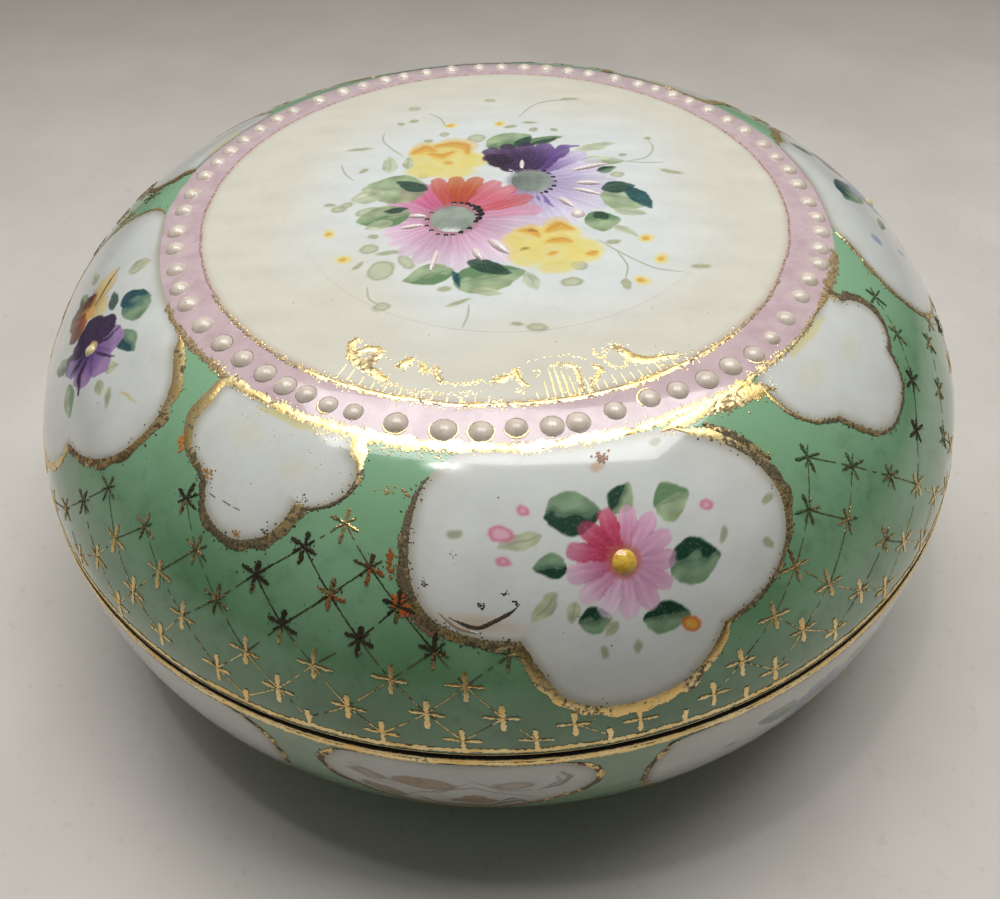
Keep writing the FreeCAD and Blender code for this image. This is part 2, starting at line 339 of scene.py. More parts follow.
def patch(name, place, reach, centre, step, lift, paint, body):
    """Painted patch inside an outline given as distances from its centre by direction."""
    n = int((float(np.max(reach)) + step) / step) + 1
    axis = np.arange(-n, n + 1) * step
    gx, gy = np.meshgrid(axis, axis)
    rho = np.hypot(gx, gy)
    limit = np.interp(np.arctan2(gy, gx), DIRECTIONS, reach, period=2 * math.pi)
    inside = rho <= limit
    scale = np.where(inside, 1.0, limit / np.maximum(rho, 1e-6))
    gx, gy = gx * scale, gy * scale
    m = 2 * n + 1
    i, j = np.nonzero(inside[:-1, :-1] | inside[1:, :-1] | inside[:-1, 1:] | inside[1:, 1:])
    ids = i * m + j
    faces = np.stack([ids, ids + 1, ids + m + 1, ids + m], 1)
    used, back = np.unique(faces, return_inverse=True)
    faces = back.reshape(faces.shape)
    x, y = gx.ravel()[used] + centre[0], gy.ravel()[used] + centre[1]
    rest = np.maximum(limit.ravel()[used] - rho.ravel()[used], 0.0)
    px, py = x[faces], y[faces]
    area = sum(px[:, a] * py[:, (a + 1) % 4] - px[:, (a + 1) % 4] * py[:, a] for a in range(4))
    faces = faces[area > step**2 * 0.02]
    colour = paint(x, y, rest)
    return add_piece(name, place(x, y, lift), faces, with_alpha(colour), PAINT, body)


def through(points, fine=12):
    """Smooth line through points; extra columns such as width are carried along."""
    p = np.array(points, float)
    t = np.linspace(0, len(p) - 1, fine * (len(p) - 1) + 1)
    i = np.clip(t.astype(int), 0, len(p) - 2)
    q = (t - i)[:, None]
    before, after = p[np.maximum(i - 1, 0)], p[np.minimum(i + 2, len(p) - 1)]
    line = 0.5 * (
        2 * p[i]
        + (p[i + 1] - before) * q
        + (2 * before - 5 * p[i] + 4 * p[i + 1] - after) * q**2
        + (3 * p[i] - before - 3 * p[i + 1] + after) * q**3
    )
    line[:, 2:] = np.maximum(line[:, 2:], 0.0)
    return line


def reach_of(runs, centre):
    """Distance from centre to a closed outline, by direction. Runs join at sharp corners."""
    loop = np.concatenate([through([row[:2] for row in run], 24)[:-1] for run in runs])
    dx, dy = loop[:, 0] - centre[0], -loop[:, 1] - centre[1]
    theta, rho = np.arctan2(dy, dx), np.hypot(dx, dy)
    order = np.argsort(theta)
    return np.interp(DIRECTIONS, theta[order], rho[order], period=2 * math.pi)


def disc(radius):
    return np.full(len(DIRECTIONS), float(radius))


def length_along(p):
    """Distance from the first of some points to each."""
    return np.concatenate([[0.0], np.cumsum(np.hypot(*np.diff(p[:, :2], axis=0).T))])


class Strokes:
    """Collects thin raised ribbons and dabs into one mesh."""

    def __init__(self):
        self.verts, self.faces, self.tints, self.count = [], [], [], 0

    def strip(self, rows, tint, wear):
        """rows: points as (along, across, 3). wear: one number or one per point along."""
        along, across = rows.shape[:2]
        index = self.count + np.arange(along * across).reshape(along, across)
        a, b = index[:-1, :-1].ravel(), index[1:, :-1].ravel()
        c, d = index[1:, 1:].ravel(), index[:-1, 1:].ravel()
        self.faces.append(np.stack([a, d, c, b], 1))
        self.verts.append(rows.reshape(-1, 3))
        tone = np.broadcast_to(np.asarray(tint, float), (along * across, 3))
        worn = np.broadcast_to(np.asarray(wear, float).reshape(-1, 1), (along, across)).ravel()
        self.tints.append(with_alpha(tone, worn))
        self.count += along * across

    def ribbon(
        self, place, points, width, tint, wear, low=0.03, high=0.09, step=0.12, ragged=0.0, seed=0,
        taper=False, across=3,
    ):
        """Ribbon along drawn points, low at its edges and high in the middle.

        width and wear may be one number or one per point. ragged: how uneven the edges are.
        """
        p = np.array(points, float)
        size = length_along(p)
        n = max(3, int(size[-1] / step) + 1)
        t = np.linspace(0, size[-1], n)
        x, y = np.interp(t, size, p[:, 0]), np.interp(t, size, p[:, 1])
        w = np.interp(t, size, np.broadcast_to(np.asarray(width, float), len(p)))
        worn = np.interp(t, size, np.broadcast_to(np.asarray(wear, float), len(p)))
        if taper:
            ends = np.minimum(t, size[-1] - t) / max(size[-1] * 0.2, 1e-6)
            w = w * np.clip(0.35 + 0.65 * ends, 0, 1)
        dx, dy = np.gradient(x), np.gradient(y)
        norm = np.maximum(np.hypot(dx, dy), 1e-9)
        nx, ny = -dy / norm, dx / norm
        rng = np.random.default_rng(seed + 17)
        rows = []
        for q in np.linspace(-0.5, 0.5, across):
            shake = ragged * rng.uniform(-1, 1, n) if abs(q) > 0.49 and ragged else 0.0
            off = w * q + np.sign(q) * shake
            rows.append(place(x + nx * off, y + ny * off, low + (high - low) * (1 - (2 * q) ** 2)))
        self.strip(np.stack(rows, 1), tint, worn)

    def dab(self, place, x, y, rx, ry, angle, tint, wear, low=0.03, high=0.12, sides=10):
        """Small rounded dab, slightly domed."""
        a = math.radians(angle)
        turn = np.linspace(0, 2 * math.pi, sides + 1)
        rows = []
        for q, h in ((1.0, low), (0.6, low + (high - low) * 0.75), (0.02, high)):
            u, v = rx * q * np.cos(turn), ry * q * np.sin(turn)
            px = x + u * math.cos(a) - v * math.sin(a)
            py = y + u * math.sin(a) + v * math.cos(a)
            rows.append(place(px, py, h))
        self.strip(np.stack(rows, 1)[::-1], tint, wear)

    def spray(self, place, points, spread, count, size, tint, wear, seed, low=0.035, high=0.06):
        """Crumbs of gilding or soil scattered about drawn points."""
        p = np.array(points, float)
        along = length_along(p)
        rng = np.random.default_rng(seed + 71)
        for _ in range(count):
            t = rng.uniform(0, along[-1])
            x = np.interp(t, along, p[:, 0]) + rng.normal() * spread
            y = np.interp(t, along, p[:, 1]) + rng.normal() * spread
            a, b = size * rng.uniform(0.35, 1.0, 2)
            self.dab(place, x, y, a, b, rng.uniform(0, 180), tint, wear, low, high, 6)

    def finish(self, name, material, body):
        verts, faces, tints = (np.concatenate(v) for v in (self.verts, self.faces, self.tints))
        return add_piece(name, verts, faces, tints, material, body)


# ---------------------------------------------------------------------------
# Materials
# ---------------------------------------------------------------------------
class Graph:
    """Short way to write the nodes of a material or a world. Lengths are in mm."""

    def __init__(self, owner):
        self.owner = owner
        owner.use_nodes = True
        self.tree = owner.node_tree
        self.tree.nodes.clear()
        coords = self.add("ShaderNodeTexCoord").outputs
        self.place, self.normal, self.outward = coords["Object"], coords["Normal"], coords["Generated"]

    def add(self, kind, inputs=None, **props):
        node = self.tree.nodes.new(kind)
        for key, value in props.items():
            setattr(node, key, value)
        for key, value in (inputs or {}).items():
            self.join(value, node.inputs[key])
        return node

    def join(self, value, socket):
        if isinstance(value, bpy.types.NodeSocket):
            self.tree.links.new(value, socket)
        else:
            socket.default_value = value

    def math(self, operation, a, b, clamp=False):
        return self.add("ShaderNodeMath", {0: a, 1: b}, operation=operation, use_clamp=clamp).outputs[0]

    def dot(self, a, b):
        return self.add("ShaderNodeVectorMath", {0: a, 1: b}, operation="DOT_PRODUCT").outputs["Value"]

    def span(self, value, low, high, to_low=0.0, to_high=1.0):
        """Smooth step from to_low at low to to_high at high."""
        return self.add(
            "ShaderNodeMapRange",
            {"Value": value, "From Min": low, "From Max": high, "To Min": to_low, "To Max": to_high},
            interpolation_type="SMOOTHSTEP",
        ).outputs["Result"]

    def noise(self, size, detail=3.0, roughness=0.5):
        return self.add(
            "ShaderNodeTexNoise",
            {"Vector": self.place, "Scale": 1000.0 / size, "Detail": detail, "Roughness": roughness},
        ).outputs["Fac"]

    def mix(self, factor, a, b, blend_type="MIX"):
        inputs = {0: factor, 6: a, 7: b}
        return self.add("ShaderNodeMix", inputs, data_type="RGBA", blend_type=blend_type).outputs[2]

    def bump(self, *layers):
        """layers: (height, depth in mm)."""
        normal = None
        for height, depth in layers:
            inputs = {"Height": height, "Distance": depth * MM, "Strength": 1.0}
            if normal is not None:
                inputs["Normal"] = normal
            normal = self.add("ShaderNodeBump", inputs).outputs["Normal"]
        return normal

    def shader(self, **sockets):
        names = {key.replace("_", " "): value for key, value in sockets.items()}
        node = self.add("ShaderNodeBsdfPrincipled", names)
        self.add("ShaderNodeOutputMaterial", {"Surface": node.outputs["BSDF"]})
        return self.owner


GREEN = lin(108, 152, 110)
GREEN_PALE = lin(132, 174, 136)
GREEN_DEEP = lin(84, 122, 88)
GREEN_GRAIN = lin(150, 186, 150)
GREEN_LIT_TOP = lin(140, 186, 144)
GREEN_BOWL = lin(150, 186, 146)
PINK = lin(214, 190, 192)
PINK_DEEP = lin(200, 172, 176)
CREAM = (226, 222, 205)
PORCELAIN = lin(228, 228, 220)
GLAZE = {"Coat_Weight": 0.6, "Coat_Roughness": 0.04, "Coat_IOR": 1.5, "IOR": 1.5}


def fired_body(name, lid):
    """Glazed porcelain: painted outside by radius, plain white glaze inside."""
    g = Graph(bpy.data.materials.new(name))
    xyz = g.add("ShaderNodeSeparateXYZ", {"Vector": g.place}).outputs
    flat = g.add("ShaderNodeCombineXYZ", {"X": xyz["X"], "Y": xyz["Y"]}).outputs[0]
    radius = g.add("ShaderNodeVectorMath", {0: flat}, operation="LENGTH").outputs["Value"]
    radius = g.math("MULTIPLY", radius, 1000.0)
    height = g.math("MULTIPLY", xyz["Z"], 1000.0)
    # The outside faces away from a point inside the wall
    middle = (0.0, 0.0, (30.0 if lid else 26.0) * MM)
    arm = g.add("ShaderNodeVectorMath", {0: g.place, 1: middle}, operation="SUBTRACT").outputs[0]
    outside = g.span(g.dot(arm, g.normal), 0.0, 0.004)

    large, small, grain = g.noise(16.0, 2.0), g.noise(2.6, 4.0, 0.6), g.noise(0.35, 2.0)
    green = g.mix(g.span(large, 0.3, 0.7), GREEN, GREEN_PALE)
    green = g.mix(g.span(small, 0.45, 0.8, 0.0, 0.55), green, GREEN_DEEP)
    green = g.mix(g.span(grain, 0.55, 0.9, 0.0, 0.35), green, GREEN_GRAIN)
    white = g.mix(g.span(small, 0.4, 0.75, 0.0, 0.4), PORCELAIN, lin(222, 218, 206))
    white = g.mix(g.span(g.noise(1.1, 1.0), 0.74, 0.80, 0.0, 0.5), white, lin(150, 138, 118))
    rough = g.span(small, 0.3, 0.7, 0.10, 0.17)
    if lid:
        # Painted light: the green is lighter towards the top of the lid, where the overhead light falls
        green = g.mix(g.span(radius, 45.0, 57.0, 0.85, 0.0), green, GREEN_LIT_TOP)
        pink = g.mix(g.span(small, 0.35, 0.7), PINK, PINK_DEEP)
        wander = g.math("ADD", radius, g.math("MULTIPLY", g.math("SUBTRACT", small, 0.5), 0.5))
        colour = g.mix(g.span(wander, BAND_IN - 0.08, BAND_IN + 0.08), lin(*CREAM), pink)
        colour = g.mix(g.span(wander, BAND_OUT - 0.08, BAND_OUT + 0.08), colour, green)
    else:
        bare = g.mix(g.span(grain, 0.35, 0.65), lin(214, 205, 190), lin(186, 176, 160))
        colour = g.mix(g.span(height, 1.6, 2.2), bare, g.mix(0.35, green, GREEN_BOWL))
        unglazed = g.math("SUBTRACT", 1.0, g.span(height, 0.7, 1.1), clamp=True)
        rough = g.math("ADD", rough, g.math("MULTIPLY", unglazed, 0.5))
    return g.shader(
        Base_Color=g.mix(outside, white, colour),
        Roughness=rough,
        Normal=g.bump((g.noise(7.0, 1.0), 0.05), (g.noise(0.9, 2.0), 0.004)),
        **GLAZE,
    )


def overglaze():
    """Painted enamel colours, taken from each point and broken up by fine grain."""
    g = Graph(bpy.data.materials.new("overglaze_paint"))
    paint = g.add("ShaderNodeAttribute", attribute_name="paint").outputs["Color"]
    small, grain = g.noise(1.3, 4.0, 0.6), g.noise(0.28, 2.0)
    colour = g.mix(g.span(small, 0.4, 0.8, 0.0, 0.10), paint, lin(188, 184, 170), "MULTIPLY")
    colour = g.mix(g.span(grain, 0.5, 0.9, 0.0, 0.12), colour, lin(245, 243, 236))
    return g.shader(
        Base_Color=colour,
        Roughness=g.span(small, 0.3, 0.7, 0.10, 0.20),
        Normal=g.bump((g.noise(7.0, 1.0), 0.05), (g.noise(0.8, 2.0), 0.004)),
        **GLAZE,
    )


def gilding():
    """Worn fired gold: bright metal where it survives, dull brown where it is rubbed."""
    g = Graph(bpy.data.materials.new("gilding"))
    paint = g.add("ShaderNodeAttribute", attribute_name="paint").outputs
    fine, broad = g.noise(0.55, 5.0, 0.65), g.noise(3.2, 2.0)
    left = g.math("ADD", g.math("MULTIPLY", fine, 0.65), g.math("MULTIPLY", broad, 0.35))
    gone = g.span(g.math("SUBTRACT", left, paint["Alpha"]), -0.05, 0.05, 1.0, 0.0)
    metal = g.mix(g.span(broad, 0.3, 0.7), lin(255, 232, 176), lin(246, 210, 136))
    metal = g.mix(g.span(fine, 0.52, 0.8, 0.0, 0.4), metal, lin(190, 140, 74))
    grit = g.span(g.noise(0.3, 3.0, 0.7), 0.42, 0.62)
    dull = g.mix(grit, paint["Color"], lin(176, 164, 140), "MULTIPLY")
    return g.shader(
        Base_Color=g.mix(gone, metal, dull),
        Metallic=g.span(gone, 0.0, 1.0, 1.0, 0.1),
        Roughness=g.span(gone, 0.0, 1.0, 0.36, 0.5),
        Normal=g.bump((g.noise(0.6, 3.0, 0.6), 0.04)),
        IOR=1.5,
    )


def enamel(name, light, deep, rim, size=0.6, roughness=(0.08, 0.2)):
    """Small raised dabs of enamel paste. size: how broad its clouding is."""
    g = Graph(bpy.data.materials.new(name))
    broad, grain = g.noise(size, 3.0, 0.6), g.noise(0.3, 2.0)
    colour = g.mix(g.span(broad, 0.35, 0.7), lin(*light), lin(*deep))
    return g.shader(
        Base_Color=g.mix(g.span(grain, 0.6, 0.85, 0.0, 0.3), colour, lin(*rim)),
        Roughness=g.span(broad, 0.3, 0.7, *roughness),
        Normal=g.bump((g.noise(0.8, 2.0), 0.02)),
        Coat_Weight=0.5,
        Coat_Roughness=0.05,
        IOR=1.5,
    )


PAINT = overglaze()
GOLD = gilding()
YELLOW_EYE = enamel("yellow_eye_enamel", (238, 200, 82), (214, 160, 52), (150, 90, 30))
PALE_EYE = enamel("pale_eye_enamel", (236, 226, 176), (218, 202, 140), (170, 146, 84))
NODE_MATERIALS = {
    "base_bowl": fired_body("porcelain_bowl", lid=False),
    "lid_shell": fired_body("porcelain_lid", lid=True),
    "lid_bead_border": enamel(
        "bead_enamel", (236, 222, 206), (214, 198, 180), (156, 134, 112), 1.6, (0.24, 0.36)
    ),
    "medallion_petal_enamel": enamel(
        "white_enamel", (252, 240, 232), (240, 220, 214), (240, 220, 214), 1.0, (0.3, 0.45)
    ),
    "medallion_flower_eyes": enamel(
        "grey_eye_enamel", (170, 180, 164), (112, 122, 116), (104, 114, 104), 6.5
    ),
    "front_flower_eye": YELLOW_EYE,
    "left_flower_eye": PALE_EYE,
    "right_flower_eye": PALE_EYE,
    "back_flower_eye": YELLOW_EYE,
}
for node_name, material in NODE_MATERIALS.items():
    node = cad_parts[node_name]
    if len(node.data.materials) == 0:
        node.data.materials.append(material)
    for slot in node.material_slots:
        slot.material = material


# ---------------------------------------------------------------------------
# Colours of the flowers
# ---------------------------------------------------------------------------
LEAF = rgb(146, 168, 118)
LEAF_MID = rgb(106, 140, 98)
LEAF_DARK = rgb(26, 62, 44)
TEAL_DARK = rgb(14, 70, 82)
OLIVE = rgb(176, 180, 140)
YELLOW = rgb(240, 222, 128)
ORANGE = rgb(226, 164, 62)
SCARLET = rgb(198, 62, 34)
CRIMSON = rgb(206, 52, 84)
MAGENTA = rgb(206, 88, 128)
ROSE = rgb(222, 162, 192)
BLUSH = rgb(228, 200, 218)
LILAC = rgb(218, 208, 230)
PLUM = rgb(52, 20, 66)
VIOLET = rgb(98, 58, 136)
GREY_BROWN = rgb(140, 132, 108)


# ---------------------------------------------------------------------------
# Medallion on top. x to the right, y to the back, in mm.
# ---------------------------------------------------------------------------
PALE_OLIVE = rgb(190, 196, 160)

# Leaves: base, tip, half width, colour, darker wash or None, side of the wash
MEDALLION_LEAVES = [
    (-8.6, 1.6, -17.2, 2.2, 3.4, LEAF, None, 1),
    (-14.0, 1.6, -18.2, -0.6, 1.6, PALE_OLIVE, None, 1),
    (-10.6, -3.8, -17.2, -5.2, 2.4, LEAF, LEAF_MID, 1),
    (-12.6, -5.6, -16.0, -6.8, 1.1, PALE_OLIVE, None, 1),
    (-13.6, 6.0, -14.0, 10.4, 1.0, PALE_OLIVE, None, 1),
    (-11.2, 6.6, -11.4, 10.2, 0.7, PALE_OLIVE, None, 1),
    (-5.0, -18.4, 3.4, -16.4, 2.7, LEAF, LEAF_MID, 1),
    (-4.9, -15.6, -10.6, -17.6, 1.9, LEAF, LEAF_MID, 1),
    (-2.6, -19.6, 0.8, -20.4, 0.7, PALE_OLIVE, None, 1),
    (-0.8, 12.2, 5.4, 15.4, 2.3, LEAF, LEAF_MID, -1),
    (4.2, 12.4, 9.7, 15.0, 1.1, LEAF, LEAF_MID, 1),
    (11.2, 10.8, 16.8, 12.9, 1.0, PALE_OLIVE, None, 1),
    (11.6, 8.3, 17.8, 7.8, 1.1, PALE_OLIVE, LEAF, -1),
    (13.6, 5.2, 16.4, 6.4, 0.8, LEAF_MID, LEAF_DARK, 1),
    (13.8, -0.2, 20.0, -2.4, 3.0, LEAF, None, 1),
    (15.0, -4.0, 19.0, -4.8, 0.9, PALE_OLIVE, None, 1),
    (11.0, -6.8, 15.6, -6.0, 2.1, LEAF, LEAF_MID, 1),
    (3.4, -16.6, 4.8, -19.8, 0.9, PALE_OLIVE, None, 1),
    (14.6, -7.4, 17.4, -9.6, 0.6, PALE_OLIVE, None, 1),
]
# Darker parts of leaves: base, tip, half width, colour
MEDALLION_DARKS = [
    (-8.6, 1.2, -12.7, 3.8, 1.1, LEAF_DARK),
    (-10.9, -2.8, -14.0, -3.4, 0.55, LEAF_DARK),
    (-3.4, -14.2, 2.0, -16.8, 1.15, LEAF_DARK),
    (-4.9, -16.0, -4.3, -19.0, 0.4, TEAL_DARK),
    (3.2, 12.0, 5.4, 14.8, 1.0, LEAF_DARK),
    (5.0, 12.4, 9.4, 14.6, 0.5, LEAF_DARK),
    (13.9, 0.8, 18.4, 1.9, 1.3, LEAF_DARK),
    (17.2, 1.6, 19.8, -3.6, 1.2, TEAL_DARK),
    (12.6, -4.6, 14.0, -6.2, 0.9, LEAF_DARK),
]
# Small dabs: (x, y, half length, half width, direction)
SPRIG_DABS = [
    (-12.9, 20.0, 0.5, 0.45, 0), (-11.2, 20.7, 0.55, 0.5, 20), (-11.2, 24.9, 0.8, 0.6, 0),
    (-0.2, 26.8, 0.8, 0.5, 0), (11.5, 26.9, 1.2, 0.4, 0), (-18.3, 12.9, 1.5, 0.35, 2),
    (23.5, 5.3, 1.4, 0.4, -16), (24.1, -15.5, 1.0, 0.4, 4), (4.4, -26.2, 1.1, 0.6, -14),
    (2.2, -25.5, 0.6, 0.25, -5), (5.8, 17.0, 0.6, 0.5, 30), (8.7, 16.8, 0.5, 0.4, 0),
    (-8.8, 14.4, 0.6, 0.5, 0), (-14.8, -8.6, 0.6, 0.35, 0), (-16.2, -14.2, 0.8, 0.3, 55),
    (-5.9, -19.2, 0.7, 0.4, 10), (-4.2, -21.7, 1.2, 0.25, 22), (21.5, 14.3, 0.4, 0.4, 0),
    (14.2, -10.9, 0.8, 0.4, 12), (14.9, -18.9, 0.6, 0.9, 0), (-9.1, 5.0, 0.7, 0.6, 30),
    (-2.2, 14.7, 1.2, 1.1, 30), (-16.0, -3.1, 1.5, 0.9, 24), (-19.6, -2.2, 0.9, 0.7, 0),
    (-20.9, -1.1, 0.7, 0.35, 0), (-18.7, -1.4, 0.8, 0.5, 20), (-15.1, -11.1, 1.1, 0.9, 35),
    (-12.6, -12.0, 1.4, 0.35, 4), (-13.4, -15.4, 1.5, 1.8, -20), (-10.5, -14.0, 0.9, 1.5, 30),
    (8.7, -18.4, 1.3, 0.75, 12), (9.8, -15.4, 0.9, 0.9, 0), (16.3, 4.4, 0.8, 0.7, 0),
    (-12.9, -21.9, 0.9, 0.7, 0), (-6.6, 16.0, 0.7, 0.6, 20), (2.6, 18.0, 0.8, 0.4, 10),
    (5.4, 19.2, 1.0, 0.3, 5), (1.0, 12.6, 0.8, 0.7, 60), (-17.2, 7.0, 0.6, 0.4, 50),
    (17.6, 9.6, 0.5, 0.4, 0),
]
# Loose yellow dots: (x, y)
YELLOW_DOTS = [
    (-5.8, 18.8), (1.1, 19.0), (-20.3, -7.5), (-18.0, -13.0), (18.3, -10.0), (19.6, -14.1), (16.8, -18.2),
]
# Thin stems
STEMS = [
    [(-9.1, 23.0), (-7.4, 21.2), (-6.5, 18.4)], [(3.8, 20.9), (5.8, 24.4), (8.2, 26.2), (11.3, 26.6)],
    [(-15.1, 17.7), (-15.0, 14.6), (-12.0, 10.1)], [(-20.4, 9.0), (-19.6, 6.4), (-18.3, 4.6)],
    [(12.4, -10.3), (14.7, -12.8), (18.4, -15.8), (21.8, -16.6)],
    [(14.4, -12.6), (15.4, -15.4), (14.9, -18.0)],
    [(17.6, 7.8), (20.6, 9.0), (21.9, 11.6), (21.5, 14.0)], [(-14.8, -18.2), (-14.4, -20.4), (-12.9, -21.8)],
    [(-3.1, -22.0), (-3.2, -23.9), (-3.8, -25.9)], [(17.0, 8.0), (20.0, 7.6), (23.0, 7.8)],
]
# Dark dots round the two eyes: (x, y, radius)
EYE_DOTS = [
    (-5.0, -1.9, 0.30), (-4.1, -2.0, 0.28), (-3.3, -2.2, 0.36), (-2.7, -2.7, 0.36), (-2.1, -3.1, 0.44),
    (-1.8, -3.8, 0.44), (-2.4, -3.6, 0.30), (-1.6, -4.6, 0.44), (-2.2, -4.8, 0.30), (-1.9, -5.5, 0.42),
    (-2.4, -6.2, 0.38), (-3.1, -7.6, 0.36), (-4.1, -8.4, 0.34), (-5.1, -8.9, 0.26), (-5.9, -8.9, 0.28),
    (-6.9, -8.7, 0.24), (-7.7, -7.8, 0.28), (-8.3, -6.8, 0.26), (-8.3, -5.4, 0.28), (-7.8, -4.0, 0.24),
    (2.4, 5.3, 0.22), (3.2, 5.7, 0.26), (4.2, 6.0, 0.26), (5.5, 5.9, 0.28), (6.7, 5.4, 0.28),
    (7.3, 4.7, 0.26), (7.8, 3.8, 0.28), (8.0, 2.7, 0.24), (7.8, 1.6, 0.30), (7.3, 0.8, 0.28),
    (6.7, 0.2, 0.30), (6.1, -0.1, 0.22),
]
# Leaves whose base is behind this line are under the flowers, the others over their petals
BEHIND_Y = 8.0


def yellow_blossom(art, petals, ambers):
    """Loose yellow blossom: pale overlapping petals with amber pooled along their upper edges."""
    for cx, cy, rx, ry, turn in petals:
        art.blob(cx, cy, rx * 1.05, ry * 1.05, turn, YELLOW * (1 + 0.02 * math.sin(cx * 5)), 0.8, 0.5)
        fold = [(cx - 0.7 * rx, cy + 0.3 * ry), (cx, cy + 0.6 * ry), (cx + 0.7 * rx, cy + 0.2 * ry)]
        art.stroke(fold, 0.3, YELLOW * 0.93, 0.4)
    for points, width in ambers:
        art.stroke(points, width * 2.6, blend(YELLOW, ORANGE, 0.5), 0.35)
        art.stroke(points, width * 1.5, blend(YELLOW, ORANGE, 0.6), 0.5)
        art.stroke(points, width, ORANGE, 0.62)
        art.stroke([(a + 0.15, b + 0.3) for a, b in points], width * 0.4, rgb(208, 142, 52), 0.45)


def medallion_leaves(art, behind):
    """The leaves under the flowers, or those laid over the petal tips."""
    art.leaves([row for row in MEDALLION_LEAVES if (row[1] > BEHIND_Y) == behind])
    for x0, y0, x1, y1, half, tone in MEDALLION_DARKS:
        if (y0 > BEHIND_Y) == behind:
            art.leaf(x0, y0, x1, y1, half, tone, cover=0.95)


def medallion_start(x, y):
    """White middle fading to cream at the rim, with the small sprigs round the bouquet."""
    away = np.hypot(x - 1.5, y * 0.96) + 2.4 * ripple(x, y, 41, 24.0)
    ground = blend(rgb(228, 232, 228), rgb(*CREAM), ramp(away, 17.0, 31.0))
    ground = ground * (1 + 0.012 * ripple(x, y, 42, 5.0))[:, None]
    art = Painting(x, y, ground)
    art.lay(line_mask(BAND_IN - np.hypot(x, y) - 0.1, 0.5) * 0.45, rgb(186, 160, 138))
    for cx, cy, rx, ry, turn in SPRIG_DABS:
        tone = OLIVE if rx < 0.7 or ry < 0.5 else PALE_OLIVE
        art.blob(cx, cy, rx, ry, turn, tone, 0.75, 0.16, rgb(160, 158, 122))
    return art


def medallion_ground_paint(x, y, rest):
    return medallion_start(x, y).colour


